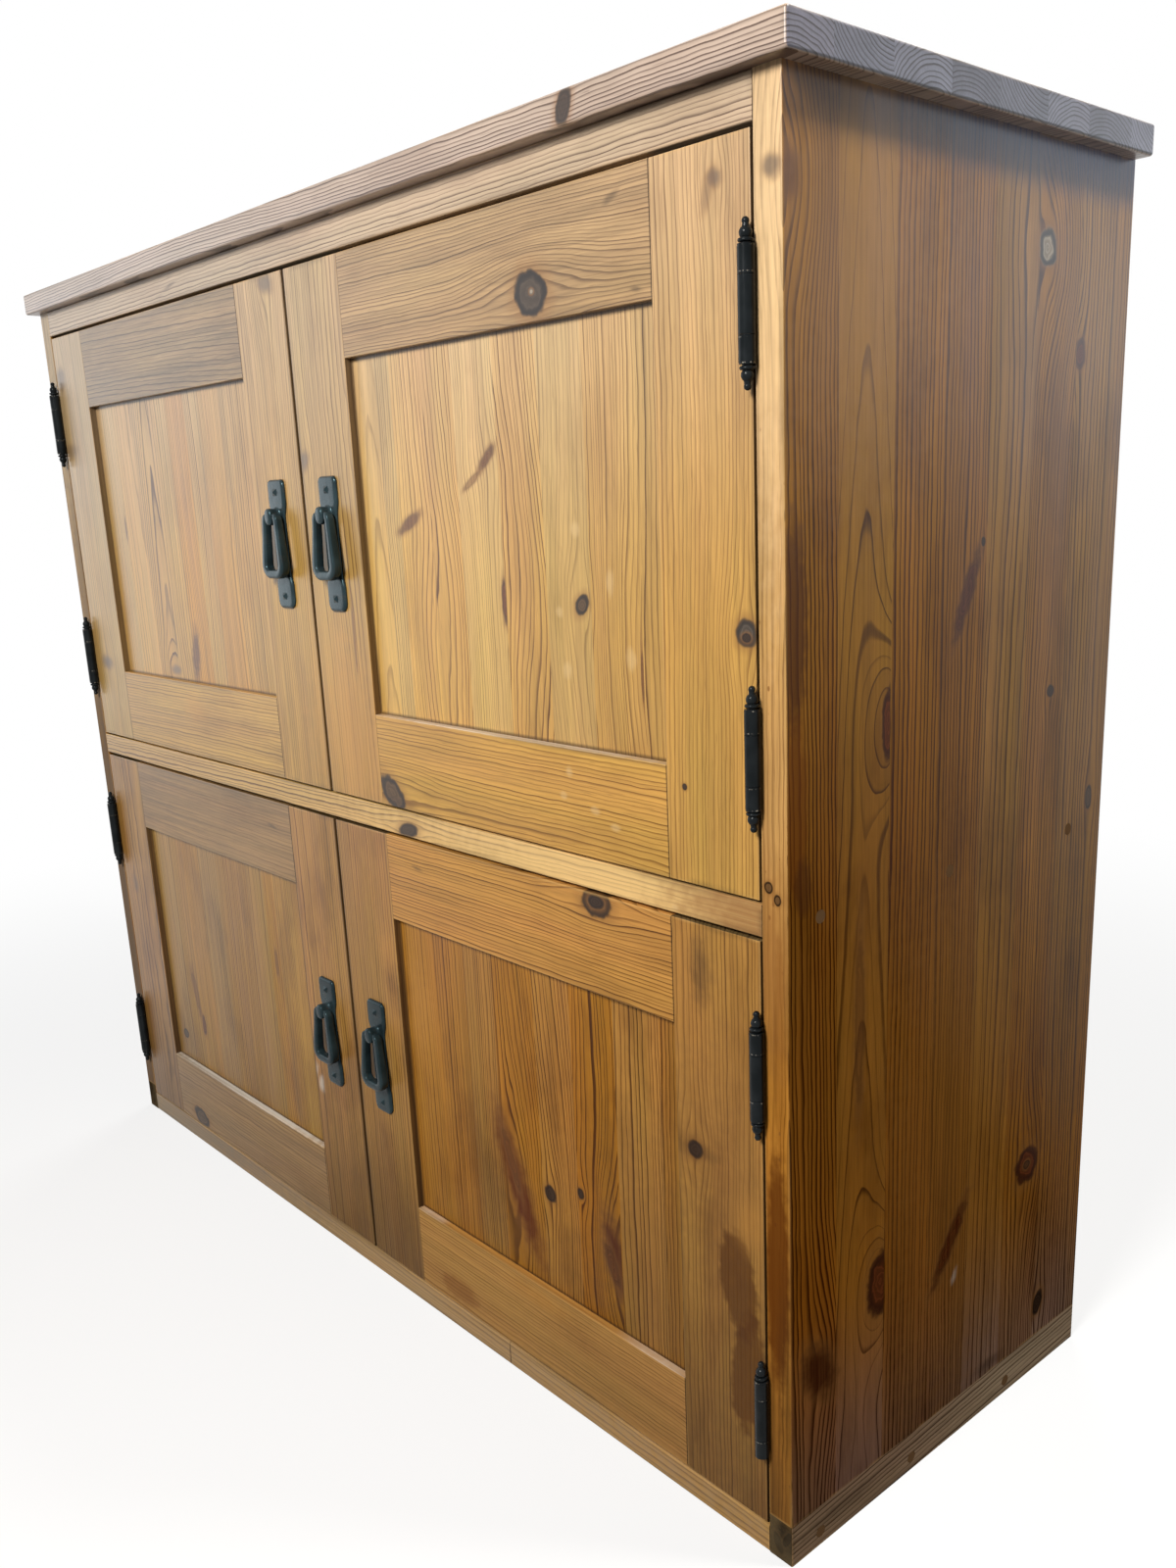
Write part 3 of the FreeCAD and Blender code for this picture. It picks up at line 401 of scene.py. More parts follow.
    def stave_values(self, planks):
        """What each stave has at this point, read from the stave that the point is in."""
        low, high, rows = planks["low"], planks["high"], planks["rows"]
        if len(rows) == 1:
            return rows[0]
        limits = {**STAVE_LIMITS, "start": (low, high), "pith": (low - PITH_REACH, high + PITH_REACH)}
        place = (self.cross - low) / (high - low)
        found = {}
        for keys in (STAVE_KEYS[:4], STAVE_KEYS[4:]):
            stops = []
            for row in rows:
                shares = [(row[key] - limits[key][0]) / (limits[key][1] - limits[key][0]) for key in keys]
                stops.append(((row["start"] - low) / (high - low), shares))
            colour = self.node("ValToRGB", {"stops": ("CONSTANT", stops)}, {0: place})
            shares = (*self.split(colour, "Color"), colour.other("Alpha"))
            for key, share in zip(keys, shares):
                found[key] = share * (limits[key][1] - limits[key][0]) + limits[key][0]
        return found

    def rings(self, stave, marks, upright, sway, broad):
        """How dark the latewood is here: a field of rings round each stave's pith, parted by knots."""
        bent, drawn = self.cross, 0.0
        for spot in marks:
            if not (spot["eye"] or spot["push"]):
                continue
            turned = abs(math.sin(spot["turn"])) > 0.7
            wide, high = (spot["high"], spot["wide"]) if turned else (spot["wide"], spot["high"])
            cross_size, along_size = (wide, high) if upright else (high, wide)
            middle_cross, middle_along = (spot["x"], spot["z"]) if upright else (spot["z"], spot["x"])
            aside = self.cross - middle_cross
            usual = cross_size * 1.9 + 2.0, along_size * 2.2 + cross_size * 2.0
            reach_cross, reach_along = spot.get("reach", usual)
            far = aside * (1.0 / reach_cross)
            off = (self.along - middle_along) * (1.0 / reach_along)
            near = (-(far * far + off * off)).power_of_e()
            if spot["only"]:
                near = near * self.kept_side(spot["only"])
            if spot["eye"]:
                bent = bent - aside * near * spot["eye"]
            if spot["push"]:
                drawn = near * spot["push"] + drawn
        aside, below = bent - stave["pith"], self.deep + stave["sunk"]
        ripple = self.drawn_out(RIPPLE, 1.0)
        radius = ((aside * aside + below * below).root() + self.along * stave["slope"]
                  + (self.swaying - 0.5) * sway + (ripple - 0.5) * 2.2 + drawn)
        uneven = self.node("TexNoise", {"noise_dimensions": "1D"},
                           {"W": radius * 0.08, "Scale": 1.0, "Detail": 1.0})
        ring = radius / stave["spacing"] + (uneven - 0.5) * 1.6
        phase = ring.part()
        strong = self.node("TexWhiteNoise", {"noise_dimensions": "1D"}, {"W": ring.whole()})
        line = phase.fade(0.86 - broad / stave["spacing"], 0.93) * 0.82 + phase * 0.18
        return line * phase.fade(1.0, 0.95) * (strong * 0.6 + 0.4)

    def kept_side(self, only):
        side, seam = only
        return (self.across > seam) if side == "above" else (self.across < seam)

    def coloured(self, spot):
        """Puts one mark on the pine, and says where it is."""
        aside, over = self.across - spot["x"], self.up - spot["z"]
        cos, sin = math.cos(spot["turn"]), math.sin(spot["turn"])
        if spot["turn"]:
            first = aside * (cos / spot["wide"]) + over * (sin / spot["wide"])
            second = over * (cos / spot["high"]) - aside * (sin / spot["high"])
        else:
            first, second = aside * (1.0 / spot["wide"]), over * (1.0 / spot["high"])
        size = (first * first + second * second).root() + self.ragged * (0.35 + spot["soft"])
        body = size.fade(1.0 + spot["soft"], 1.0 - spot["soft"])
        near = size.fade(2.0, 0.8) * spot["halo"] if spot["halo"] else None
        if spot["only"]:
            kept = self.kept_side(spot["only"])
            body = body * kept
            near = near * kept if near else None
        if near:
            self.paint(near, KNOT_HALO)
        core = spot["core"]
        if spot["rim"]:
            ringed = (size * 3.2 + self.ragged).part().fade(0.35, 1.0) * 0.45
            core = self.mix(ringed, core, tuple(channel * 2.6 for channel in core))
        share = body * self.streaky if spot["soft"] >= STREAKY_FROM else body
        self.paint(share * spot["full"], core)
        if spot["rim"]:
            rim = abs(size - 0.86).fade(0.3, 0.04) * spot["rim"]
            self.paint(rim * kept if spot["only"] else rim, KNOT_RIM)
        return body


# The top's bluish grey cast is a painted sheen
TOP_SHEEN_TINT, HIGH_TINT, STRIP_TINT = (0.79, 0.95, 2.4), (0.84, 0.98, 1.85), (0.95, 0.92, 0.92)


def pine_finishes():
    """The pine of each kind of board, by name."""
    made = {}

    def board(name, *how, **more):
        made[name] = Pine(f"pine_{name}", *how, **more)

    stile, rail, panel = (91, 22, 479.5), (390.4, 22, 84.5), (410, 9.0, 330)
    side = (23.5, 412, 1008.5)
    joints, gap_edges, panel_sunk = (95.1, 485.5), (2.9,), 9.75
    run = dict(full=0.8, soft=0.18, core=(0.1, 0.034, 0.006))

    board("upper_stiles", "front", "up", staves(11, -600, 600, (-300, 0, 300), {
        0: dict(tone=-0.7, bold=0.5), 1: dict(tone=-0.9, pith=-150, bold=0.55),
        2: dict(tone=-0.9, pith=110, spacing=3.8, bold=0.6),
        3: dict(tone=-0.5, pith=430, red=0.4, spacing=3.6, bold=0.55),
    }), [
        grey_knot(545, 992, 5, 5), grey_knot(538, 985, 4, 10, -20, eye=0.0, full=0.35),
        black_knot(566, 716, 9, 9, core=(0.04, 0.034, 0.029), rim=0.7), black_knot(566, 713, 4, 3, eye=0.0),
        grey_knot(9, 848, 7, 8), black_knot(504, 605, 2.4, 2.4, eye=0.0), swirl(30, 910, 40, 60, push=-9),
        grey_knot(-33, 1006, 12, 7, -12), grey_knot(-561, 967, 11, 11), grey_knot(-557, 883, 15, 7, full=0.4),
        grey_knot(-537, 628, 14, 7), soot(-73, 737, 3, 3), swirl(540, 830, 26, 60, push=-7),
        glow(50, 600, 60, 80, full=0.45), slash(70, 690, 1.6, 30, full=0.5),
    ], stile, lines=gap_edges)
    board("lower_stiles", "front", "up", staves(12, -600, 600, (-300, 0, 300), {
        0: dict(tone=-0.2, bold=0.7), 1: dict(tone=-0.2, bold=0.7), 2: dict(tone=-0.3, pith=160, bold=0.7),
        3: dict(tone=0.1, red=0.0, pith=420, bold=0.75, spacing=3.6),
    }), [
        soot(545, 330, 70, 130, full=0.38, core=(0.25, 0.118, 0.04)), soot(515, 470, 9, 24),
        black_knot(505, 323, 8, 7), soot(505, 323, 20, 6, 0, full=0.4), stain(548, 225, 19, 44, 8, **run),
        stain(556, 150, 17, 54, -6, **run), glow(560, 280, 14, 20), glow(80, 385, 12, 18), glow(85, 310, 9, 24),
        chalk_and_highlight(-85, 192, 5, 9, -8, full=0.45, soft=0.8), chalk_and_highlight(-95, 206, 5, 8, -30, full=0.3, soft=0.8),
        grey_knot(-545, 335, 8, 10, full=0.4), soot(515, 170, 60, 150, full=0.28), soot(40, 90, 60, 70, full=0.2),
    ], stile, tint=LOW_STILE_SHADE_TINT, lines=gap_edges, dirt=0.55, foot=0.6)
    board("right_rails", "front", "along", staves(13, 0, 1044, (240, 520, 760), {
        0: dict(pith=-30, tone=0.3, red=-0.1, spacing=3.0, bold=0.55),
        1: dict(pith=340, sunk=25, tone=-0.2, red=0.3, spacing=3.4, bold=0.8),
        2: dict(pith=480, tone=0.1, red=0.5, spacing=3.2, bold=0.65),
        3: dict(pith=870, sunk=30, tone=-1.5, red=0.5, spacing=2.8, bold=0.7),
    }), [
        brown_knot(358, 949, 18, 15, -15, push=-7, core=(0.026, 0.02, 0.016), rim=0.95, soft=0.12),
        ashen_knot(359, 950, 2.4, 2, eye=0.0, rim=0.5), soot(448, 997, 7, 2.2, 20),
        brown_knot(115, 547, 21, 12, -35), soot(470, 938, 6, 1.6, -10), drop(375, 600, 4, 4), drop(367, 580, 4, 3),
        drop(405, 573, 5, 3), drop(427, 563, 5, 3), brown_knot(400, 498, 17, 11, push=-4),
        black_knot(400, 499, 9, 6, eye=0.0), soot(145, 480, 8, 1.8, -8), stain(160, 45, 30, 12, full=0.4),
        # The chalk and glow lines at 619.5 and 110.6 along the bottom rails' ledges are painted highlights
        glow(290, 95, 40, 8), chalk_and_highlight(290, 619.5, 194, 1.4, full=0.5), chalk_and_highlight(118, 110.6, 22, 0.9, full=0.5),
        chalk_and_highlight(446, 110.6, 38, 0.9, full=0.5), glow(290, 110.5, 190, 1.5, full=0.7),
        soot(420, 60, 110, 60, full=0.2),
    ], rail, lines=joints, low=(1.0, 0.87, 0.82))
    board("left_rails", "front", "along", staves(14, 0, 1044, (240, 520, 760), {
        0: dict(pith=150, tone=-1.3, red=-0.5, spacing=3.2, bold=0.45),
        1: dict(pith=370, tone=-2.3, spacing=3.4, bold=0.35), 2: dict(pith=470, tone=-0.3, spacing=3.2),
        3: dict(pith=900, sunk=20, tone=-2.7, red=0.4, slope=0.03, spacing=4.4, bold=0.7),
    }), [
        glow(-295, 590, 22, 14), soot(-137, 477, 8, 1.8, -10), brown_knot(-427, 37, 20, 12, -12),
        # The chalk and glow lines at 111 and 619.5 along the bottom rails' ledges are painted highlights
        swirl(-330, 940, 80, 20, push=-6), chalk_and_highlight(-290, 111, 194, 2.2), glow(-290, 619.5, 190, 1.4),
    ], rail, lines=joints, low=(1.0, 0.94, 1.15))

    board("upper_right_panel", "front", "up", staves(21, 85, 500, (130, 152, 200, 242, 297, 350, 402, 458), {
        0: dict(pith=117, sunk=12, slope=0.06, spacing=6, bold=0.4, tone=0.3), 1: dict(tone=-0.2, bold=0.7),
        2: dict(tone=0.3, bold=0.8, red=0.25, spacing=4.2), 3: dict(tone=-0.1, bold=0.9, spacing=4.4, pith=120),
        4: dict(tone=0.3, bold=0.6, spacing=3.4), 5: dict(tone=0.0, bold=1.0, spacing=4.2, pith=240, red=0.2),
        6: dict(tone=-0.5, red=-0.4, bold=0.45, pith=620, sunk=16, spacing=4.4),
        7: dict(tone=-0.3, bold=0.7, spacing=3.6, red=0.2), 8: dict(tone=-0.7, bold=0.8, red=0.2),
    }), [
        slash(167, 790, 16, 5, 24), slash(283, 838, 14, 4, 40), slash(262, 822, 12, 2.5, 30, full=0.4),
        red_knot(297, 728, 4, 17, only=("below", 298)), brown_knot(392, 728, 9, 6, 45),
        swirl(230, 715, 14, 40, push=-13), swirl(330, 725, 16, 40, push=-15), swirl(372, 690, 14, 40, push=-13),
        swirl(180, 670, 14, 34, push=11), swirl(320, 650, 12, 30, push=10), swirl(440, 700, 12, 36, push=-11),
        drop(388, 783, 5, 5), drop(371, 678, 5, 6), drop(425, 745, 4, 9), drop(445, 690, 5, 8), drop(365, 722, 4, 4),
        slash(457, 680, 1.6, 20, only=("below", 458)),
    ], panel, sunk_edge=panel_sunk)
    board("lower_right_panel", "front", "up", staves(22, 85, 500, (152, 200, 241, 300, 350, 405, 460), {
        0: dict(tone=0.0, red=0.0, bold=0.7), 1: dict(tone=-0.3, red=-0.1, bold=0.9),
        2: dict(tone=-0.2, red=-0.4, bold=1.0), 3: dict(tone=-0.4, red=0.1, bold=1.1, spacing=4.2),
        4: dict(tone=0.4, red=-0.3, bold=1.2, spacing=4.6, pith=230),
        5: dict(tone=-0.1, red=0.2, bold=1.4, spacing=4.6, pith=540),
        6: dict(tone=0.4, red=-0.5, bold=1.1, spacing=4.6), 7: dict(tone=-0.5, red=-0.2, bold=1.2),
    }), [
        red_knot(264, 195, 14, 62, 22, rim=0.0, soft=0.6, full=1.0, push=-8, core=(0.095, 0.022, 0.004)),
        slash(254, 222, 5, 30, 20, full=0.6), black_knot(311, 207, 7.5, 8), black_knot(354, 224, 4.5, 5),
        red_knot(398, 178, 12, 34, 14, only=("below", 405), push=-26, rim=0.0, soft=0.5, full=1.0,
                 core=(0.085, 0.02, 0.005)),
        slash(392, 172, 6, 20, 20, only=("below", 405)), glow(120, 330, 22, 40), soot(225, 170, 14, 40, full=0.35),
        swirl(330, 230, 26, 60, push=-14), swirl(385, 225, 14, 50, push=12), swirl(300, 130, 22, 40, push=-10),
        soot(450, 190, 90, 120, full=0.32),
    ], panel, tint=LOW_SHADE_TINT, dirt=0.5, sunk_edge=panel_sunk)
    board("upper_left_panel", "front", "up", staves(23, -500, -85, (-440, -390, -340, -295, -250, -215, -165, -110), {
        0: dict(tone=0.2), 1: dict(tone=0.2), 2: dict(pith=-350, sunk=14, slope=0.05, spacing=4.5, tone=-0.4),
        3: dict(tone=-0.2), 4: dict(red=0.8, tone=-0.3, bold=0.9, pith=-180), 5: dict(tone=-0.3),
        6: dict(tone=-0.4, red=0.4), 7: dict(tone=-0.8, bold=0.8), 8: dict(tone=-0.8),
    }), [
        slash(-289, 650, 8, 24, -12), grey_knot(-347, 630, 11, 5, push=-8, reach=(26, 30)), glow(-262, 740, 8, 60),
        soot(-100, 801, 3, 4), slash(-440, 790, 2, 14), swirl(-240, 820, 20, 60, push=-12),
        swirl(-180, 700, 18, 50, push=10),
    ], panel, tint=UPPER_LEFT_TINT, sunk_edge=panel_sunk)
    board("lower_left_panel", "front", "up", staves(24, -500, -85, (-437, -400, -355, -307, -230, -190, -165, -110), {
        1: dict(tone=-0.2), 2: dict(tone=0.1), 4: dict(tone=-0.4), 6: dict(red=0.6, tone=0.1),
    }), [
        red_knot(-397, 173, 4.5, 13), slash(-410, 215, 6, 28, 10, full=0.5), brown_knot(-458, 145, 7, 6),
        slash(-175, 310, 3, 16, full=0.5),
    ], panel, tint=LOW_LEFT_SHADE_SHEEN_TINT, dirt=0.5, sunk_edge=panel_sunk)

    heart = dict(core=(0.08, 0.018, 0.006), rim=0.6, soft=0.2)
    board("right_side", "right", "up", staves(31, -10, 420, (52, 110, 168, 223, 280, 337, 395), {
        0: dict(tone=0.3, red=0.0, bold=1.3, spacing=3.6, pith=-60, sunk=60, slope=0.01),
        1: dict(pith=81, sunk=10, spacing=10.5, slope=0.08, bold=0.72, tone=0.5, red=-0.8),
        2: dict(tone=0.0, red=0.2, bold=1.4, spacing=4.4), 3: dict(tone=-0.5, red=0.1, bold=1.3, spacing=4.0),
        4: dict(tone=0.0, red=-0.8, bold=1.5, pith=130, sunk=20, spacing=7.0),
        5: dict(tone=-0.2, red=0.0, bold=1.1, spacing=4.0),
        6: dict(tone=0.1, red=-0.6, bold=1.3, pith=480, spacing=4.6), 7: dict(tone=-0.1, bold=1.1),
    }), [
        soot(365, 330, 60, 170, full=0.34), glow(190, 300, 90, 190, full=0.5, core=(0.28, 0.12, 0.026)),
        red_knot(6, 985, 8, 13, rim=0.0, push=-9, reach=(30, 60), soft=0.6),
        stain(8, 722, 13, 66, full=0.75, core=(0.075, 0.022, 0.005)), stain(10, 600, 11, 60, full=0.6),
        stain(16, 545, 9, 20, full=0.6, core=(0.08, 0.026, 0.007)),
        red_knot(108, 645, 7, 26, only=("below", 110), push=-60, reach=(24, 58), **heart),
        red_knot(107, 200, 16, 28, only=("below", 111), push=-60, reach=(26, 60), **heart),
        slash(78, 430, 5, 62, full=0.35), ashen_knot(291, 971, 11, 12, push=-16, reach=(44, 70)),
        swirl(268, 880, 24, 60, push=-6), red_knot(343, 900, 7, 11, only=("above", 337), push=-6),
        slash(200, 728, 7, 34, -24, core=(0.06, 0.018, 0.009), full=1.0), black_knot(219, 765, 2.6, 3.4),
        black_knot(321, 643, 5, 5), brown_knot(390, 543, 5, 10), slash(270, 720, 1.6, 24, full=0.4),
        red_knot(32, 158, 15, 24, 30, full=1.0, soft=0.55, rim=0.0, push=-10, core=(0.055, 0.014, 0.004)),
        slash(200, 195, 8, 36, -34, core=(0.065, 0.016, 0.004), full=1.0),
        red_knot(316, 222, 17, 17, -30, push=-8, **heart), black_knot(316, 222, 5, 4, eye=0.0, full=0.6),
        # The glow at the side's top front is painted light
        glow(60, 950, 90, 120, full=0.35, core=(0.4, 0.22, 0.1)), black_knot(345, 70, 7, 12, -15),
        soot(265, 45, 18, 6), chalk_and_highlight(208, 160, 3, 6, -20, full=0.25, soft=0.8),
        soot(1588, 480, 14, 60, full=0.65, core=(0.3, 0.13, 0.035)), brown_knot(1583, 546, 3.5, 4, full=0.7),
        brown_knot(1591, 538, 3, 4, full=0.7), glow(1590, 900, 13, 130, full=0.4, core=(0.9, 0.62, 0.34)),
        grey_knot(1592, 990, 7, 6), stain(1592, 420, 5, 90, full=0.25),
        stain(1588, 250, 11, 95, full=0.9, core=(0.125, 0.036, 0.005)), soot(1594, 175, 6, 60, full=0.3),
        soot(1580, 60, 8, 50, full=0.3),
    ], side, tint=SIDE_SHADE_TINT, gloss=SIDE_GLOSS, sway=7.0, dirt=0.5, foot=0.6)
    left_planks = staves(32, -10, 420, (55, 112, 166, 224, 281, 338, 396))
    board("left_side", "left", "up", left_planks, [
        brown_knot(140, 760, 9, 12), red_knot(109, 420, 10, 24, only=("below", 112), push=-20, reach=(26, 60)),
        slash(300, 620, 6, 30, 20), black_knot(250, 240, 6, 7), grey_knot(330, 880, 10, 11), chalk_and_highlight(70, 60, 5, 3),
        soot(1588, 300, 30, 420, full=0.9, core=(0.22, 0.165, 0.125)),
    ], side, tint=SIDE_SHADE_TINT, gloss=SIDE_GLOSS)
    board("top", "top", "along", staves(33, -14, 414, (28, 85, 145, 200, 260, 315, 375), {
        number: dict(pith=-14 + 57 * number + (10, 44, 30)[number % 3], sunk=(-62, 34, -48)[number % 3],
                     spacing=3.0, bold=1.3)
        for number in range(8)
    }), [
        black_knot(418, -23, 7, 12, -25, reach=(14, 22)), swirl(-180, -9, 80, 16, push=-8),
        brown_knot(-250, 160, 16, 11), brown_knot(150, 300, 20, 12, 10), red_knot(330, 118, 26, 9, 12),
        black_knot(-430, 330, 9, 7), chalk_and_highlight(80, 60, 14, 5, 20),
    ], (1229, 424, 22.5), tint=TOP_SHEEN_TINT, gloss=TOP_GLOSS)
    board("cross_boards", "front", "along", staves(34, 0, 1044, (250, 800), {
        0: dict(pith=-50, spacing=3.2, bold=0.6), 1: dict(pith=440, spacing=3.2, tone=0.7, bold=0.9),
        2: dict(pith=1150, tone=0.1),
    }), [
        # The long glow on the right of the middle shelf's front is painted light
        glow(430, 521, 300, 30, full=0.45, core=(1.0, 0.68, 0.3)),
        soot(570, 519, 75, 30, full=0.9, core=(0.31, 0.15, 0.05)), black_knot(135, 515, 15, 7, 12),
        drop(490, 513, 3, 1.6), soot(0, 12, 640, 30, full=0.45, core=(0.36, 0.29, 0.22)),
        soot(-450, 12, 260, 24, full=0.6, core=(0.17, 0.14, 0.1)), soot(241, 12, 0.7, 14, full=0.9),
    ], (1153, 400, 24), tint=STRIP_TINT, foot=0.0)
    board("top_rail", "front", "along", staves(37, 1000, 1060, (), {
        0: dict(pith=1150, spacing=3.2, tone=0.1, bold=0.8),
    }), [soot(-233, 1030, 13, 1.6, 8)], (1153, 48, 27.5), tint=HIGH_TINT)
    board("base_rails", "right", "along", staves(35, -4, 40, (), {
        0: dict(pith=60, sunk=12, slope=0.03, spacing=4.6, bold=0.8, tone=1.4, red=-0.8),
    }), [
        soot(60, 20, 40, 6, full=0.4), soot(1590, 18, 15, 20, full=0.95), black_knot(1586, 14, 4, 9, 20, full=0.8),
        black_knot(1595, 22, 3, 8, -25, full=0.8),
    ], (23.5, 412, 36), tint=BASE_RAIL_TINT, gloss=SIDE_GLOSS, foot=0.6)
    board("shelves", "top", "along", staves(36, -20, 420, (45, 100, 158, 214, 270, 330, 385)), [
        brown_knot(-300, 140, 12, 8), brown_knot(240, 220, 14, 9), red_knot(60, 90, 18, 8),
    ], (1150, 300, 18), gloss=INNER_GLOSS)
    return made


def plywood_finish():
    """Plain rotary-cut plywood on the back, with wide, flaming grain."""
    ply = new_finish("plywood_back")
    x = ply.place()[0]
    wave = ply.speckle((90, 30, 420), 3.0)
    flame = (wave * 9.0 + x / 160).part()
    line = flame.fade(0.2, 0.95) * flame.fade(1.0, 0.95)
    fibre = ply.speckle((1.2, 1.2, 26))
    patch = ply.speckle((240, 240, 300))
    colour = ply.mix(line * 0.5, (0.56, 0.36, 0.17), (0.34, 0.18, 0.07))
    colour = ply.mix((fibre - 0.4).most(0.0) * 0.8, colour, (0.3, 0.17, 0.08))
    colour = ply.mix(patch.fade(0.4, 0.75) * 0.35, colour, (0.36, 0.22, 0.11))
    edge = ply.edge((1180, 6.0, 1020))
    colour = ply.mix(edge.fade(14, 1.0) * 0.4, colour, GRIME_AND_SHADE)
    ply.skin(colour, fibre * 0.25 + 0.5, fibre * 0.6 - line * 0.4, 0.4, 0.0006, specular_ior_level=0.3)
    return ply


def beech_finish():
    """Turned beech on dowels and pegs, with short flecks and darker ends."""
    beech = new_finish("beech")
    x = beech.place()[0]
    fleck = beech.speckle((5, 0.8, 0.8))
    cloud = beech.speckle((14, 6, 6))
    colour = beech.mix(fleck.fade(0.45, 0.7) * 0.6, (0.5, 0.27, 0.1), (0.26, 0.11, 0.035))
    colour = beech.mix(cloud.fade(0.5, 0.8) * 0.5, colour, (0.2, 0.08, 0.025))
    colour = beech.mix(abs(x).fade(596, 599) * 0.9, colour, (0.15, 0.082, 0.04))
    beech.skin(colour, fleck * 0.2 + 0.42, fleck, 0.3, 0.0005, specular_ior_level=0.0)
    return beech


# The lower row's handles shine less, as painted shade
LIT_AND_SHADED_HANDLE_SHINE = {"upper": 0.31, "lower": 0.16}


def iron_finish(row, shine):
    """Cast iron under blue-black paint, on the handles of one row of doors; the lower row's weaker shine is painted
    shade.
    """
    iron = new_finish(f"black_iron_{row}")
    dents = iron.speckle((9, 9, 9))
    grit = iron.speckle((1.1, 1.1, 1.1), 3.0)
    cloud = iron.speckle((24, 24, 24))
    colour = iron.mix(cloud.fade(0.35, 0.7), (0.011, 0.019, 0.022), (0.022, 0.036, 0.04))
    colour = iron.mix(grit.fade(0.62, 0.74) * 0.4, colour, (0.06, 0.07, 0.072))
    colour = iron.mix((dents * grit).fade(0.33, 0.42) * 0.25, colour, (0.09, 0.045, 0.02))
    height = dents * 1.0 + grit * 0.15
    iron.skin(colour, cloud * 0.12 + grit * 0.12 + 0.12, height, 0.25, 0.001, specular_ior_level=shine,
              specular_tint=(0.55, 0.88, 1.0))
    return iron


# The heights of the hinges, and of the rings on a barrel from its middle
HINGE_MIDDLES, BARREL_RINGS = (125, 406.5, 633.5, 915), (33.3, 18.6)


def hinge_finish():
    """Black lacquer on the finial hinges, rubbed bright along the rings of the barrel."""
    hinge = new_finish("black_hinge")
    z = hinge.place()[2]
    level = None
    for middle in HINGE_MIDDLES:
        here = abs(z - middle)
        level = here if level is None else level.least(here)
    scratch = hinge.speckle((1.6, 1.6, 7), 3.0)
    cloud = hinge.speckle((12, 12, 18))
    outer, inner = BARREL_RINGS
    rings = abs(level - outer).fade(0.9, 0.2).most(abs(level - inner).fade(0.8, 0.2))
    rubbed = (rings * 0.35 + scratch * 0.9 + cloud * 0.3).fade(0.95, 1.15)
    colour = hinge.mix(cloud.fade(0.3, 0.75), (0.004, 0.006, 0.007), (0.012, 0.015, 0.017))
    colour = hinge.mix(rubbed, colour, (0.3, 0.27, 0.22))
    hinge.skin(colour, scratch * 0.2 + 0.12, scratch * 0.5 + cloud * 0.5, 0.2, 0.0005, metallic=rubbed * 0.9,
               specular_ior_level=0.1)
    return hinge


def steel_finish():
    """Zinc-plated steel on screws, pins and strikes."""
    steel = new_finish("plated_steel")
    brushed = steel.speckle((0.5, 3, 0.5))
    dull = steel.speckle((6, 6, 6))
    colour = steel.mix(dull.fade(0.4, 0.7), (0.46, 0.44, 0.4), (0.3, 0.27, 0.23))
    steel.skin(colour, brushed * 0.25 + 0.25, brushed, 0.2, 0.0004, metallic=1.0)
    return steel


def plastic_finish():
    """Moulded brown plastic on the catches, with a fine spark-eroded grain."""
    plastic = new_finish("brown_plastic")
    grain = plastic.speckle((0.45, 0.45, 0.45))
    cloud = plastic.speckle((12, 12, 12))
    colour = plastic.mix(cloud, (0.1, 0.052, 0.026), (0.15, 0.082, 0.042))
    plastic.skin(colour, grain * 0.25 + 0.35, grain, 0.35, 0.0004, specular_ior_level=0.45)
    return plastic


# The cast handles, in millimetres from the middle of the back of the plate, y towards the door
PLATE_HALF_HEIGHT, PLATE_END_HALF, PLATE_WAIST_HALF, PLATE_THICK = 61, 15.5, 12, 3.0
PIVOT_RISE, PIVOT_REACH, BAIL_DROP, BAIL_CORNER = 27, -10, 54.5, 9.0
BAIL_TOP_HALF, BAIL_BOTTOM_HALF, BAIL_SHOULDER, STUB_START = 10.8, 16.8, 5.0, 4.0
POST_HALF_WIDTH, POST_HALF_HEIGHT, POST_DROP = 6.2, 7.9, 0.6
PLATE_WAIST_ENDS, PLATE_TOP_CORNER, PLATE_FOOT_CORNER = (24, 40), 6.0, 9.0
PLATE_EDGE, PLATE_CROWN, PLATE_CROWN_REACH = 2.8, 0.3, 6.0
# Half the bail's thickness and depth: at its top, what the foot adds, and what the stubs lack
BAIL_THICK, BAIL_DEEP = (3.2, 1.1, 0.6), (4.1, 0.8, 0.9)
BAIL_FOOT_SPAN, BAIL_STUB_SPAN, BAIL_FORWARD = (4.0, 52), (5.0, 10), (1.1, 0.7)
POST_SOFTNESS, BAIL_SOFTNESS = 0.8, 0.55
PLATE_ROWS, PLATE_COLUMNS, POST_POINTS, BAIL_POINTS, BEND_STEPS, FOOT_STEPS = 72, 18, 32, 24, 16, 6
# Where along its reach the post has which share of its size
POST_PROFILE = (
    (-1.5, 1.3), (-2.6, 1.28), (-3.6, 1.12), (-4.8, 1.0), (-6.2, 0.96), (-8.5, 0.97), (-10, 1.0), (-11.8, 1.0),
    (-12.9, 0.95), (-13.7, 0.85), (-14.2, 0.68), (-14.45, 0.42), (-14.5, 0.06),
)


def eased(value, start, end):
    share = min(max((value - start) / (end - start), 0.0), 1.0)
    return share * share * (3.0 - 2.0 * share)


def quarter_round(share):
    return math.sqrt(max(0.0, 1.0 - (1.0 - min(share, 1.0)) ** 2))


def spread(count):
    """Places from -1 to 1, closer together towards the ends."""
    return [math.sin(math.pi * (step / count - 0.5)) for step in range(count + 1)]


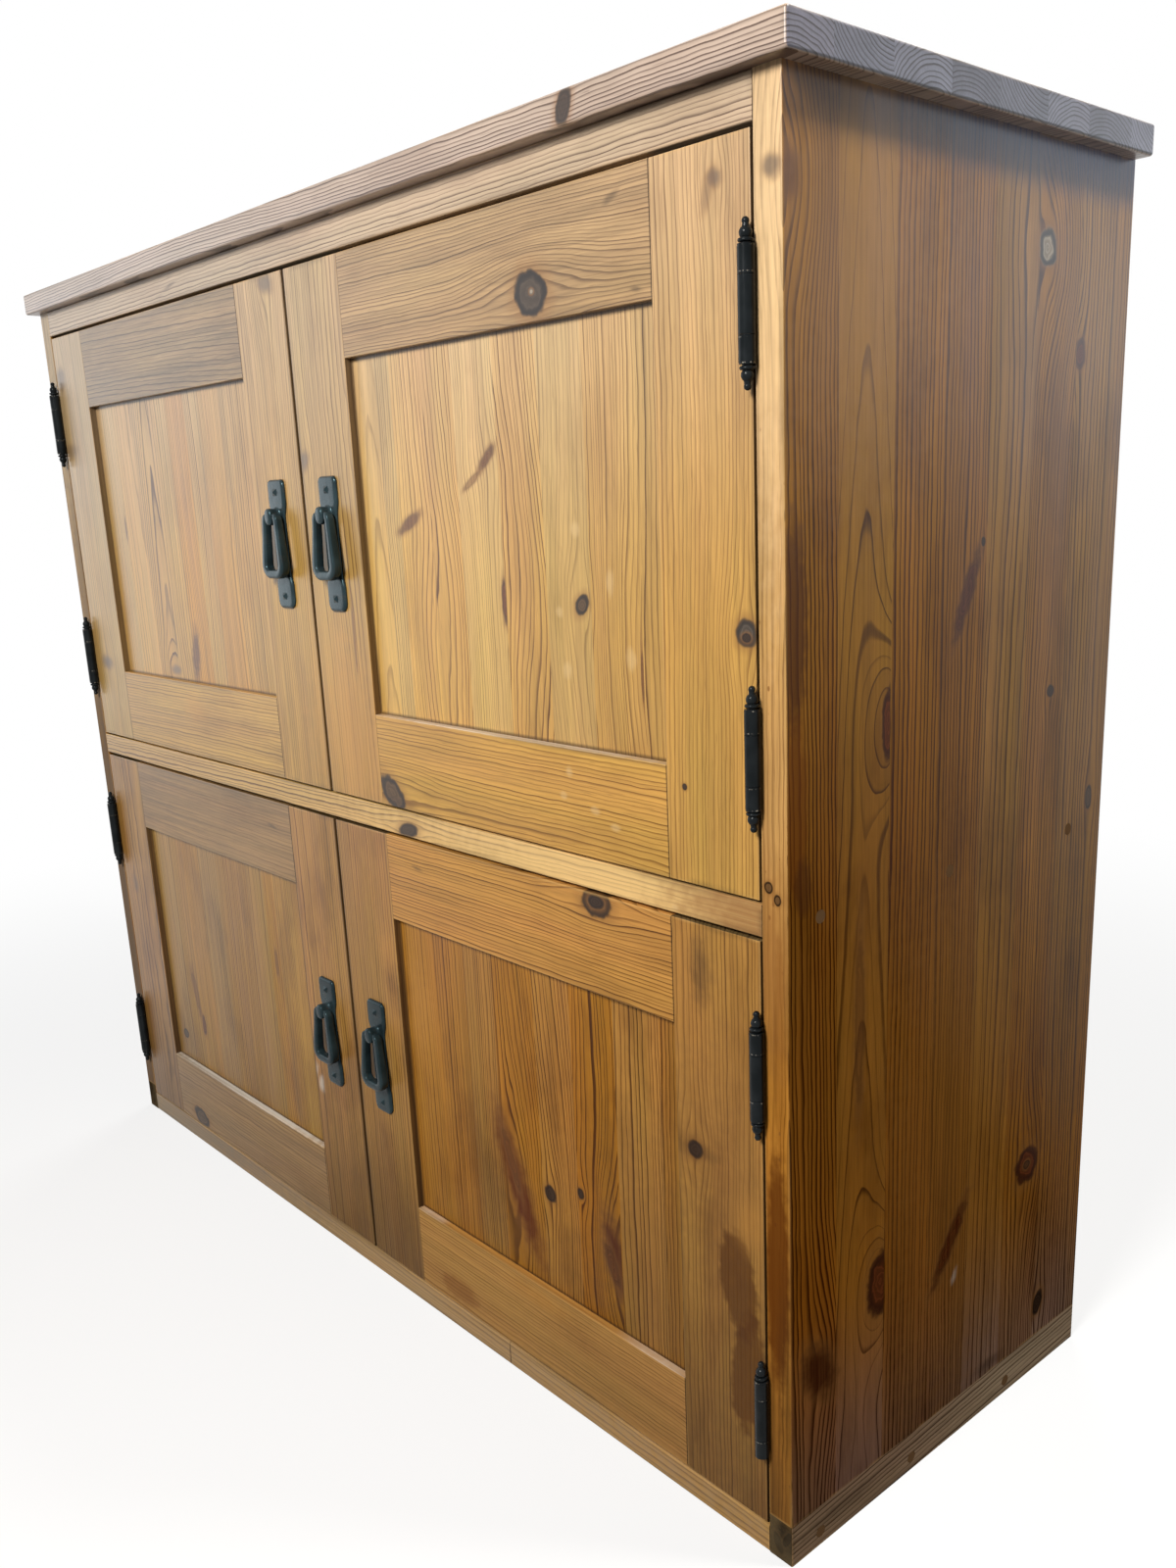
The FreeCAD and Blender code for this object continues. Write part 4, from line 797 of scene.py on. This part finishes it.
def loft(shape, rows):
    """A closed skin over rings of points."""
    rings = [[shape.verts.new(point) for point in row] for row in rows]
    for first, second in zip(rings, rings[1:]):
        for here in range(len(first)):
            shape.faces.new((first[here - 1], first[here], second[here], second[here - 1]))
    shape.faces.new(list(reversed(rings[0])))
    shape.faces.new(rings[-1])


def soft_square(step, count, power):
    """One of count places on the rim of a square with soft corners, -1 to 1 in both directions. A
    power of 1 makes it round."""
    angle = 2.0 * math.pi * step / count
    return [math.copysign(abs(side) ** power, side) for side in (math.cos(angle), math.sin(angle))]


def plate_half(level):
    """Half the plate's width at a height: wide ends with round corners, and a waist between."""
    height = abs(level)
    half = PLATE_WAIST_HALF + (PLATE_END_HALF - PLATE_WAIST_HALF) * eased(height, *PLATE_WAIST_ENDS)
    corner = PLATE_TOP_CORNER if level > 0 else PLATE_FOOT_CORNER
    past = height - PLATE_HALF_HEIGHT + corner
    return half - corner + math.sqrt(max(corner ** 2 - past ** 2, 0.0)) if past > 0 else half


def plate_shape():
    """A cast plate with soft edges and the post that the bail hangs on."""
    shape = bmesh.new()
    face, back = [], []
    levels, shares = spread(PLATE_ROWS), spread(PLATE_COLUMNS)
    for level in (PLATE_HALF_HEIGHT * place for place in levels):
        half, row, under = plate_half(level), [], []
        for share in shares:
            inset = min(half * (1.0 - abs(share)), PLATE_HALF_HEIGHT - abs(level))
            crown = PLATE_CROWN * (1.0 - share ** 2) * quarter_round(inset / PLATE_CROWN_REACH)
            thick = PLATE_THICK * quarter_round(inset / PLATE_EDGE) + crown
            row.append(shape.verts.new((share * half, -thick, level)))
            rim = abs(share) == 1.0 or abs(level) == PLATE_HALF_HEIGHT
            under.append(row[-1] if rim else shape.verts.new((share * half, 0.0, level)))
        face.append(row)
        back.append(under)
    for sheet in (face, back):
        for low, high in zip(sheet, sheet[1:]):
            for here in range(1, len(low)):
                shape.faces.new((low[here - 1], low[here], high[here], high[here - 1]))
    rim = [soft_square(step, POST_POINTS, POST_SOFTNESS) for step in range(POST_POINTS)]
    middle = PIVOT_RISE - POST_DROP
    loft(shape, [
        [(POST_HALF_WIDTH * size * aside, place, middle + POST_HALF_HEIGHT * size * up) for aside, up in rim]
        for place, size in POST_PROFILE
    ])
    return shape


def bail_path():
    """Points along the bail's loop from one stub to the other, as (across, up) from the pivot."""
    corners = [Vector(corner) for corner in (
        (STUB_START, 0.0), (BAIL_TOP_HALF, 0.0), (BAIL_BOTTOM_HALF, -BAIL_DROP), (0.0, -BAIL_DROP))]
    path = corners[:1]
    for before, corner, after, radius in zip(corners, corners[1:], corners[2:], (BAIL_SHOULDER, BAIL_CORNER)):
        arriving, leaving = (corner - before).normalized(), (after - corner).normalized()
        turn = arriving.angle(leaving)
        bend = corner - arriving * (radius * math.tan(turn / 2.0))
        inward = Vector((arriving.y, -arriving.x)) * radius
        path += [path[-1].lerp(bend, step / BEND_STEPS) for step in range(1, BEND_STEPS)]
        path += [bend + inward + Matrix.Rotation(-turn * step / BEND_STEPS, 2) @ -inward
                 for step in range(BEND_STEPS + 1)]
    path += [path[-1].lerp(corners[-1], step / FOOT_STEPS) for step in range(1, FOOT_STEPS + 1)]
    return path + [Vector((-point.x, point.y)) for point in reversed(path[:-1])]


def bail_shape():
    """A cast loop that thickens towards its foot and bends into the post at its two stubs."""
    shape = bmesh.new()
    path = bail_path()
    rows = []
    for here, point in enumerate(path):
        ahead = (path[min(here + 1, len(path) - 1)] - path[max(here - 1, 0)]).normalized()
        foot = eased(-point.y, *BAIL_FOOT_SPAN)
        stub = 1.0 - eased(abs(point.x), *BAIL_STUB_SPAN) if point.y > -1.0 else 0.0
        thick, deep = (top + more * foot - less * stub for top, more, less in (BAIL_THICK, BAIL_DEEP))
        middle = PIVOT_REACH + BAIL_FORWARD[0] - BAIL_FORWARD[1] * foot
        row = []
        for step in range(BAIL_POINTS):
            aside, depth = soft_square(step, BAIL_POINTS, BAIL_SOFTNESS)
            across = point.x + ahead.y * aside * thick
            row.append((across, middle + depth * deep, PIVOT_RISE + point.y - ahead.x * aside * thick))
        rows.append(row)
    loft(shape, rows)
    return shape


def cast_handles(irons):
    """Puts a cast plate and bail on each door in place of the plain ones."""
    for kind, shape in (("plate", plate_shape()), ("bail", bail_shape())):
        bmesh.ops.recalc_face_normals(shape, faces=shape.faces)
        for face in shape.faces:
            face.smooth = True
        bmesh.ops.scale(shape, vec=(0.001, 0.001, 0.001), verts=shape.verts)
        for door in DOORS:
            low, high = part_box(f"{door}_handle_plate")
            mesh = bpy.data.meshes.new(f"{door}_cast_{kind}")
            shape.to_mesh(mesh)
            mesh.transform(Matrix.Translation(((low[0] + high[0]) / 2, high[1], (low[2] + high[2]) / 2)))
            mesh.materials.append(irons[door.split("_")[0]].holder)
            piece = bpy.data.objects.new(f"{door}_cast_{kind}", mesh)
            bpy.context.scene.collection.objects.link(piece)
            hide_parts(f"{door}_handle_plate" if kind == "plate" else f"{door}_bail")
            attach(piece, f"{door}_door" if kind == "plate" else f"{door}_bail")
        shape.free()


def dress_cupboard():
    """Gives every node of the model its finish."""
    pine = pine_finishes()
    irons = {row: iron_finish(row, shine) for row, shine in LIT_AND_SHADED_HANDLE_SHINE.items()}
    hinge, steel = hinge_finish(), steel_finish()
    beech, plastic, ply = beech_finish(), plastic_finish(), plywood_finish()
    worn = {
        **{name: pine[name] for name in ("left_side", "right_side", "base_rails", "top_rail")},
        **dict.fromkeys(("middle_shelf", "bottom_board"), pine["cross_boards"]),
        **dict.fromkeys(("shelf_pegs", "wood_dowels"), beech),
        **dict.fromkeys(("hinge_frame_leaves", "hinge_finials"), hinge),
        **dict.fromkeys(("hinge_frame_screws", "hinge_pins"), steel),
        "top_board": pine["top"], "loose_shelves": pine["shelves"], "back_panel": ply, "magnetic_catches": plastic,
    }
    for door in DOORS:
        row, column = door.split("_")
        worn.update({
            f"{door}_hinge_stile": pine[f"{row}_stiles"], f"{door}_meeting_stile": pine[f"{row}_stiles"],
            f"{door}_door_top_rail": pine[f"{column}_rails"], f"{door}_door_bottom_rail": pine[f"{column}_rails"],
            f"{door}_door_panel": pine[f"{door}_panel"], f"{door}_strike": steel, f"{door}_hinge_leaves": hinge,
            f"{door}_hinge_screws": steel, f"{door}_handle_nails": irons[row],
        })
    for name, finish in worn.items():
        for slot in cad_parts[name].material_slots:
            slot.material = finish.holder
    cast_handles(irons)


# The studio: a pale floor, five soft lamps, a pale world and the camera
CAMERA_EYE, CAMERA_TARGET = (1.16758, -0.84759, 0.80172), (0.46911, -0.206, 0.54937)
CAMERA_ROLL, CAMERA_LENS, CAMERA_SHIFT = -0.033885, 30.51, (-0.0419, 0.045)
FLOOR_REACH, FLOOR_FADE, FLOOR_SHADOW = 14, (800, 2200), 0.28
WHITE = (1.0, 1.0, 1.0)
# Each lamp's name, place, aim, size, power and colour
LAMPS = (
    ("key_lamp", (0.8, -1.75, 1.75), (0.1, -0.2, 0.7), 0.7, 51, (1.0, 0.985, 0.955)),
    ("window_lamp", (-3.2, -1.6, 1.05), (-0.3, -0.2, 0.7), 2.0, 14, (0.9, 0.95, 1.0)),
    ("side_lamp", (1.15, 0.3, 2.3), (0.6, 0.0, 0.7), 0.25, 26, (1.0, 0.98, 0.93)),
    ("back_lamp", (2.3, 2.4, 1.35), (0.6, 0.1, 0.9), 1.2, 6.0, (0.66, 0.83, 1.0)),
    ("rear_lamp", (-1.7, 2.4, 1.6), (-0.2, 0.2, 0.5), 1.6, 40, (1.0, 0.98, 0.95)),
)


def seen_rays(finish):
    """1 for rays that show the background itself: from the camera, off gloss or through glass."""
    path = finish.node("LightPath", {}, {}, "Is Camera Ray")
    return path.most(path.other("Is Glossy Ray")).most(path.other("Is Transmission Ray"))


def set_studio():
    scene = bpy.context.scene
    scene.view_settings.view_transform = "Standard"
    scene.world = scene.world or bpy.data.worlds.new("studio")
    sky = Finish(scene.world)
    dim = sky.node("Background", {}, {"Color": (0.92, 0.96, 1.0), "Strength": 0.08})
    pale = sky.node("Background", {}, {"Color": WHITE, "Strength": 1.0})
    sky.node("OutputWorld", {}, {"Surface": sky.node("MixShader", {}, {0: seen_rays(sky), 1: dim, 2: pale})})

    floor_mesh = bpy.data.meshes.new("floor")
    corners = [(x * FLOOR_REACH, y * FLOOR_REACH, 0) for x, y in ((-1, -1), (1, -1), (1, 1), (-1, 1))]
    floor_mesh.from_pydata(corners, [], [(0, 1, 2, 3)])
    floor = bpy.data.objects.new("floor", floor_mesh)
    scene.collection.objects.link(floor)
    pale_floor = new_finish("pale_floor")
    matt = pale_floor.node("BsdfDiffuse", {}, {"Color": (0.22, 0.21, 0.2)})
    lit = pale_floor.node("BsdfDiffuse", {}, {"Color": (0.95, 0.95, 0.95)})
    white = pale_floor.node("Emission", {}, {"Color": WHITE, "Strength": 1.0})
    ground = pale_floor.place()
    far = (ground[0] * ground[0] + ground[1] * ground[1]).root().fade(*FLOOR_FADE)
    shown = pale_floor.node("MixShader", {}, {0: far * FLOOR_SHADOW + (1.0 - FLOOR_SHADOW), 1: lit, 2: white})
    blend = pale_floor.node("MixShader", {}, {0: seen_rays(pale_floor), 1: matt, 2: shown})
    pale_floor.node("OutputMaterial", {}, {"Surface": blend})
    floor_mesh.materials.append(pale_floor.holder)

    for name, place, aim, size, power, tint in LAMPS:
        lamp = bpy.data.lights.new(name, "AREA")
        lamp.shape, lamp.size, lamp.energy, lamp.color = "DISK", size, power, tint
        stand = bpy.data.objects.new(name, lamp)
        stand.location = place
        stand.rotation_euler = (Vector(aim) - Vector(place)).to_track_quat("-Z", "Y").to_euler()
        scene.collection.objects.link(stand)


def set_camera():
    ahead = (Vector(CAMERA_TARGET) - Vector(CAMERA_EYE)).normalized()
    right = ahead.cross(Vector((0, 0, 1))).normalized()
    over = right.cross(ahead)
    cos, sin = math.cos(CAMERA_ROLL), math.sin(CAMERA_ROLL)
    turned = Matrix((right * cos + over * sin, over * cos - right * sin, -ahead)).transposed().to_4x4()
    turned.translation = CAMERA_EYE
    lens = bpy.data.cameras.new("camera")
    lens.lens, lens.clip_start = CAMERA_LENS, 0.02
    lens.shift_x, lens.shift_y = CAMERA_SHIFT
    camera = bpy.data.objects.new("camera", lens)
    camera.matrix_world = turned
    bpy.context.scene.collection.objects.link(camera)
    bpy.context.scene.camera = camera


dress_cupboard()
set_studio()
set_camera()
